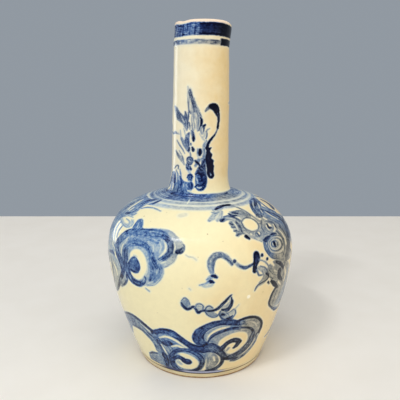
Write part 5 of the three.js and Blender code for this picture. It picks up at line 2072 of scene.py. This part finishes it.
# The studio: a pale cloth on a table with its edge behind the vase, a plain blue-grey wall as the
# lens and the glaze see it, the light of a pale room, and soft lamps. The two narrow bars in front
# draw the glints on the shoulder, and the tall one on the left draws the streak down the neck.
floor_half, floor_edge = 3, 0.36
floor_mesh = bpy.data.meshes.new("floor")
floor_corners = [
    (-floor_half, -floor_half, 0),
    (floor_half, -floor_half, 0),
    (floor_half, floor_edge, 0),
    (-floor_half, floor_edge, 0),
]
floor_mesh.from_pydata(floor_corners, [], [(0, 1, 2, 3)])
floor = bpy.data.objects.new("floor", floor_mesh)
bpy.context.scene.collection.objects.link(floor)
floor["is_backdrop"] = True
floor_cloth, end = new_material("floor_cloth")
here, x, y, z = place()
cloth = cloudy(here, 30, 3).mix(fired(236, 233, 226), fired(243, 241, 236))
surface(end, Base_Color=cloth, Roughness=0.85)
floor_mesh.materials.append(floor_cloth)

world = bpy.data.worlds.new("studio")
world.use_nodes = True
Shade.tree = world.node_tree
camera_ray = Shade.node("ShaderNodeLightPath", {}, "Is Camera Ray")
mirror_ray = Shade.node("ShaderNodeLightPath", {}, "Is Glossy Ray")
room_light, wall_colour = (0.84, 0.83, 0.81), (0.57, 0.64, 0.72)
room = camera_ray.calc("MAXIMUM", mirror_ray).mix(room_light, wall_colour)
background = Shade.node("ShaderNodeBackground", {"Color": room, "Strength": 0.50})
Shade.tree.links.new(background.socket, world.node_tree.nodes["World Output"].inputs["Surface"])
bpy.context.scene.world = world
bpy.context.scene.view_settings.view_transform = "Standard"
white, daylight, lamplight = (1.0, 1.0, 1.0), (0.88, 0.95, 1.0), (1.0, 0.90, 0.76)


def soft_lamp(name, stands, faces, size, watts, colour=white, mirrored=True, lighting=True):
    """A flat soft lamp of a width and height, which stands at one place and faces a height on the
    vase's axis. The broad ones are kept out of the glaze's reflections, where they would veil the
    dark paint, and the one that is there for its reflection alone lights nothing."""
    data = bpy.data.lights.new(name, "AREA")
    data.shape = "RECTANGLE"
    data.size, data.size_y = size
    data.energy = watts
    data.color = colour
    lamp = bpy.data.objects.new(name, data)
    bpy.context.scene.collection.objects.link(lamp)
    lamp.location = stands
    lamp.visible_glossy = mirrored
    lamp.visible_diffuse = lighting
    facing = mathutils.Vector((0, 0, faces)) - mathutils.Vector(stands)
    lamp.rotation_euler = facing.to_track_quat("-Z", "Y").to_euler()


soft_lamp("front_left", (-0.75, -1.0, 0.95), 0.1, (1.1, 1.1), 4.8, mirrored=False)
soft_lamp("overhead", (0.1, -0.2, 1.4), 0.1, (0.9, 0.9), 3.5, mirrored=False)
soft_lamp("window_bar", (-0.50, -0.68, 1.05), 0.1, (0.22, 0.018), 3.6)
soft_lamp("long_bar", (-0.10, -0.72, 1.10), 0.1, (0.62, 0.018), 1.3)
soft_lamp("left_window", (-0.89, 0.665, 0.14), 0.15, (0.34, 0.40), 1.5, daylight, lighting=False)
soft_lamp("right_fill", (2.1, -1.16, 0.44), 0.1, (2.5, 1.6), 25.5, lamplight, mirrored=False)

low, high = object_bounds()
